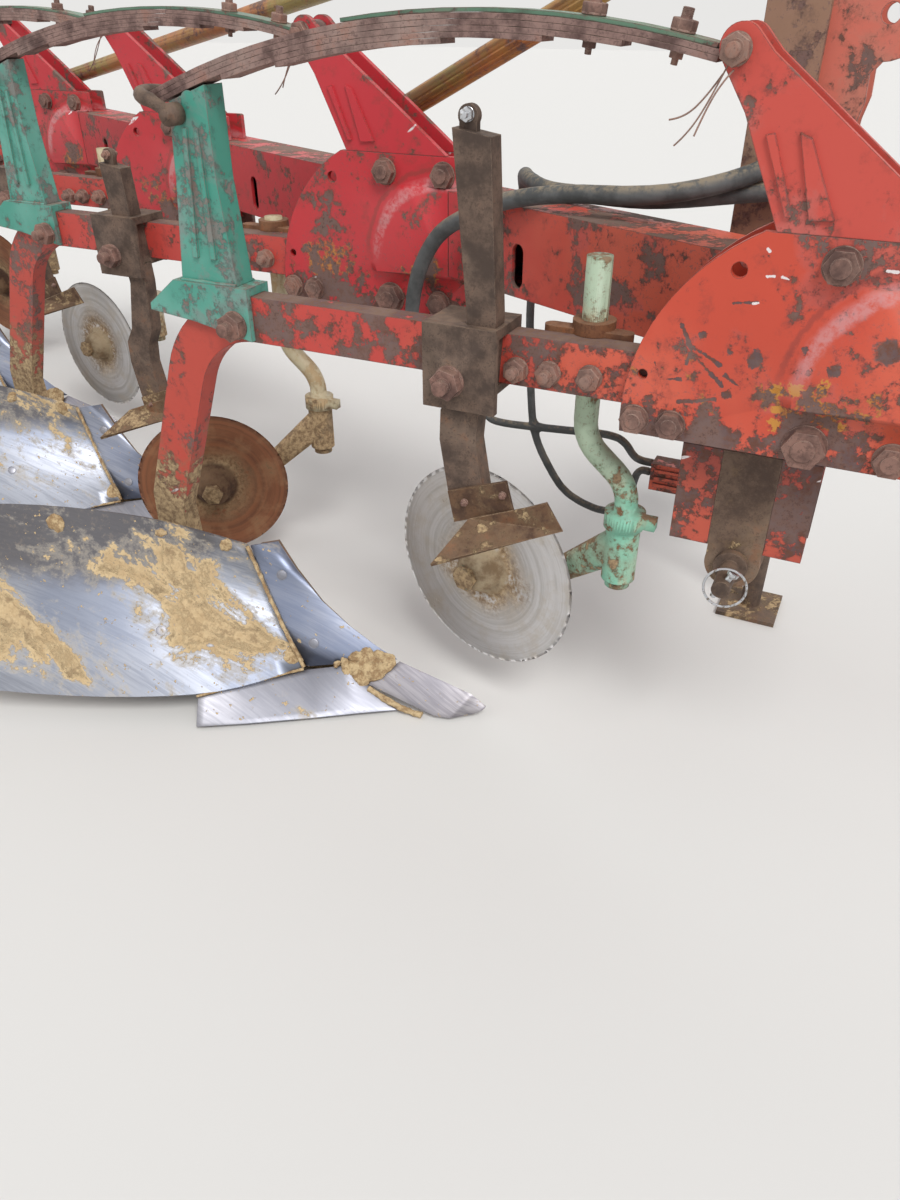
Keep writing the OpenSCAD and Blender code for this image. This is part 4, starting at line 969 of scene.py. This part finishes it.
# skimmer lugs and small bolts: millimetres along the first body's beam, sizes in metres
skimmers = {"places": [-486, -672, -590, -570], "drops": [0, 150, 60, 40], "lug": (-5, -37, 1040),
            "lugRadius": 0.0145, "lugThick": 0.012, "lugRise": 0.019, "lugFoot": 0.016, "nutRise": 0.021,
            "nutFace": 0.0062, "nutSize": 0.5, "bracketBolts": [(4, 507), (70, 534)], "bracketFace": 60.5,
            "bracketSize": 0.34}
lugs, nuts, heads = [], [], []
for body in range(bodyCount):
    place, drop = skimmers["places"][body], skimmers["drops"][body]
    x, y, z = skimmers["lug"]
    foot = onBody(body, place + x, y, z - drop)
    middle = foot + Vector((0, 0, skimmers["lugRise"]))
    lug = applied(cylinder(24, skimmers["lugRadius"], skimmers["lugThick"], middle, (90, 0, 0)))
    openFaces(lug, lambda face: face.normal.z < -0.5)
    bpy.ops.mesh.extrude_region_move(TRANSFORM_OT_translate={"value": (0, 0, -skimmers["lugFoot"])})
    closeFaces()
    lugs.append(lug)
    face = Vector((0, skimmers["nutFace"], 0))
    hub = foot + Vector((0, 0, skimmers["nutRise"]))
    nuts.append(facing(hub - face, right, 0.4 * body, skimmers["nutSize"]))
    heads.append(facing(hub + face, left, 0.2, skimmers["nutSize"]))
    for dx, height in skimmers["bracketBolts"]:
        spot = onBody(body, place + dx, -skimmers["bracketFace"], height - drop)
        nuts.append(facing(spot, right, 0.7, skimmers["bracketSize"]))
settle(joined(lugs), "skimmer_lugs", darkRust)
copies(boltMaster, nuts[:1], "skimmer_lug_nut", brightNut)
copies(boltMaster, nuts[1:] + heads, "skimmer_bolts", boltRust)

# bolts sunk in the boards and shins, found from the furrow side; millimetres, sizes in metres
boardTree = BVHTree.FromObject(smoothCopies["mouldboards"], bpy.context.evaluated_depsgraph_get())
shinTree = BVHTree.FromObject(smoothCopies["shins"], bpy.context.evaluated_depsgraph_get())
sunkBolts = {"board": [(-1125, 311), (-1012, 284), (-1289, 344), (-1080, 150)],
             "shin": [(-903, 229), (-819, 108)], "radius": 0.0105, "thick": 0.003, "rim": 0.0012,
             "sunk": 0.0006, "slope": 0.002, "crown": 0.0005}
sunkMaster = cylinder(26, sunkBolts["radius"], sunkBolts["thick"])
openFaces(sunkMaster, faceUp)
bpy.ops.mesh.inset(thickness=sunkBolts["rim"])
bpy.ops.mesh.extrude_region_move(TRANSFORM_OT_translate={"value": (0, 0, -sunkBolts["sunk"])})
bpy.ops.mesh.inset(thickness=sunkBolts["slope"])
bpy.ops.transform.translate(value=(0, 0, sunkBolts["crown"]))
closeFaces()


def onSurface(tree, body, x, z):
    # where a look straight from the furrow meets the surface, and the normal there
    start = onBody(body, x, -900, z)
    hit, normal, _, _ = tree.ray_cast(start, Vector((0, 1, 0)))
    return hit, normal if normal.y < 0 else -normal


boardHits = [onSurface(boardTree, body, x, z) for body in range(bodyCount) for x, z in sunkBolts["board"]]
shinHits = [onSurface(shinTree, body, x, z) for body in range(bodyCount) for x, z in sunkBolts["shin"]]
copies(sunkMaster, [facing(hit, normal) for hit, normal in boardHits], "board_bolts", shareSteel)
copies(sunkMaster, [facing(hit, normal) for hit, normal in shinHits], "shin_bolts", shareSteel)

# dried soil: on three board bolts in four, in the seams, on the heels and along the bar points
bpy.ops.mesh.primitive_ico_sphere_add(subdivisions=4, radius=1)
clodMaster = bpy.context.object
openFaces(clodMaster, lambda face: face.calc_center_median().z < -0.3)
bpy.ops.mesh.delete(type="FACE")
closeFaces()
plugLook = {"wide": [0.011, 0.015, 0.019], "oval": 0.8, "tall": 0.0045}
plugs = []
for index, (hit, normal) in enumerate(boardHits):
    if index % 4 == 3:
        continue
    wide = plugLook["wide"][index % 3]
    flat = Matrix.Diagonal((wide, wide * plugLook["oval"], plugLook["tall"], 1))
    plugs.append(facing(hit, normal, index) @ flat)
soilPlugs = copies(clodMaster, plugs, "bolt_soil", driedSoil)
roughen(soilPlugs, 0.008, 0.006)

def crumbled(beads, name, strength, depth):
    # beads of soil made one lumpy piece
    soil = joined(beads)
    openFaces(soil, everyFace)
    bpy.ops.mesh.subdivide(number_cuts=2)
    closeFaces()
    roughen(soil, 0.012, strength, depth)
    settle(soil, name, driedSoil)


seams = {"joint": [(-822, -77, 67), (-872, -59, 127), (-922, -39, 204), (-968, -23, 283)],
         "share": [(-822, -79, 64), (-898, -155, 58), (-972, -230, 52)],
         "thick": {"joint": 0.00384, "share": 0.00256}, "proud": (-0.002, -0.004, 0.002)}
beads = []
for body in range(bodyCount):
    for seam, thick in seams["thick"].items():
        path = [onBody(body, *point) + Vector(seams["proud"]) for point in seams[seam]]
        beads.append(wireLoop("bead", path, thick))
crumbled(beads, "seam_soil", 0.004, 2)

clods = {"heel": [(-702, -29, 70, 36, 25, 9), (-724, -36, 74, 28, 18, 7), (-676, -16, 82, 26, 20, 8),
                  (-714, -44, 55, 22, 18, 7), (-748, -47, 73, 18, 10, 5), (-706, -20, 90, 24, 15, 6),
                  (-690, -12, 98, 14, 10, 5), (-730, -30, 92, 15, 11, 5), (-764, -52, 76, 10, 7, 4)],
         "corner": (-850, 86, 0.027, 0.019, 0.0035),
         "lie": (0.2, -0.75, 0.6)}
lumps = []
for body in range(bodyCount):
    for index, (x, y, z, wide, deep, tall) in enumerate(clods["heel"]):
        lay = facing(onBody(body, x, y, z), clods["lie"], 0.5 * index + 0.4 * body)
        lumps.append(lay @ Matrix.Diagonal((wide / 1000, deep / 1000, tall / 1000, 1)))
    x, z, wide, deep, tall = clods["corner"]
    hit, normal = onSurface(boardTree, body, x, z)
    lumps.append(facing(hit, normal, 0.7 * body) @ Matrix.Diagonal((wide, deep, tall, 1)))
heelSoil = copies(clodMaster, lumps, "heel_soil", driedSoil)
roughen(heelSoil, 0.018, 0.01, 4)
roughen(heelSoil, 0.006, 0.005, 3)
packed = {"path": [(-694, -51, 38), (-655, -53, 25), (-615, -52, 13), (-578, -46, 7)], "thick": 0.0062}
paths = [[onBody(body, *point) for point in packed["path"]] for body in range(bodyCount)]
crumbled([wireLoop("packed", path, packed["thick"], 3) for path in paths], "point_soil", 0.006, 4)
print("soil on the plough bodies")

# weld beads where the struts stand on their saddles
welds = {"strut": [(-1031, -24, 791), (-990, -25, 791.5), (-950, -24, 791), (-917, -24, 791)],
         "thick": 0.0034, "lumps": 0.003}
beads = []
for body in range(bodyCount):
    for side in (1, -1):
        path = [onBody(body, x, y * side, z) for x, y, z in welds["strut"]]
        beads.append(wireLoop("weld", path, welds["thick"], lumps=welds["lumps"]))
settle(joined(beads), "strut_welds", tealPaint)

for master in (boltMaster, washerMaster, sunkMaster, clodMaster):
    bpy.data.objects.remove(master)

# floor and sky
floorLook = {"reach": 60.0, "colour": (214, 212, 208), "rough": 0.9}
bpy.ops.mesh.primitive_plane_add(size=floorLook["reach"], location=(0, 0, -0.0005))
studioFloor = bpy.context.object
studioFloor.name = "studio_floor"
floorFinish = Finish("pale_floor")
studioFloor.data.materials.append(floorFinish.close(floorLook["colour"], floorLook["rough"], 0.0))

skyLook = {"light": (0.86, 0.88, 0.92, 1), "strength": 0.55, "shown": (232, 231, 229)}
world = bpy.data.worlds.new("studio_sky")
bpy.context.scene.world = world
world.use_nodes = True
sky = Nodes(world.node_tree)
dome = sky.tree.nodes["Background"]
sky.feed(dome.inputs["Color"], skyLook["light"])
sky.feed(dome.inputs["Strength"], skyLook["strength"])
pale = sky.node("Background", {}, {"Color": rgba(skyLook["shown"])})
rays = sky.node("LightPath", {}, {}, None)
# the camera sees the pale sky, and polished steel mirrors it
straight, mirrored, through = [Wire(sky, rays.outputs["Is %s Ray" % way]) for way in
                               ("Camera", "Glossy", "Transmission")]
shown = sky.most(sky.most(straight, mirrored), through)
either = sky.node("MixShader", {}, {"Fac": shown, 1: Wire(sky, dome.outputs[0]), 2: pale})
sky.feed(sky.tree.nodes["World Output"].inputs["Surface"], either)
bpy.context.scene.view_settings.view_transform = "Standard"
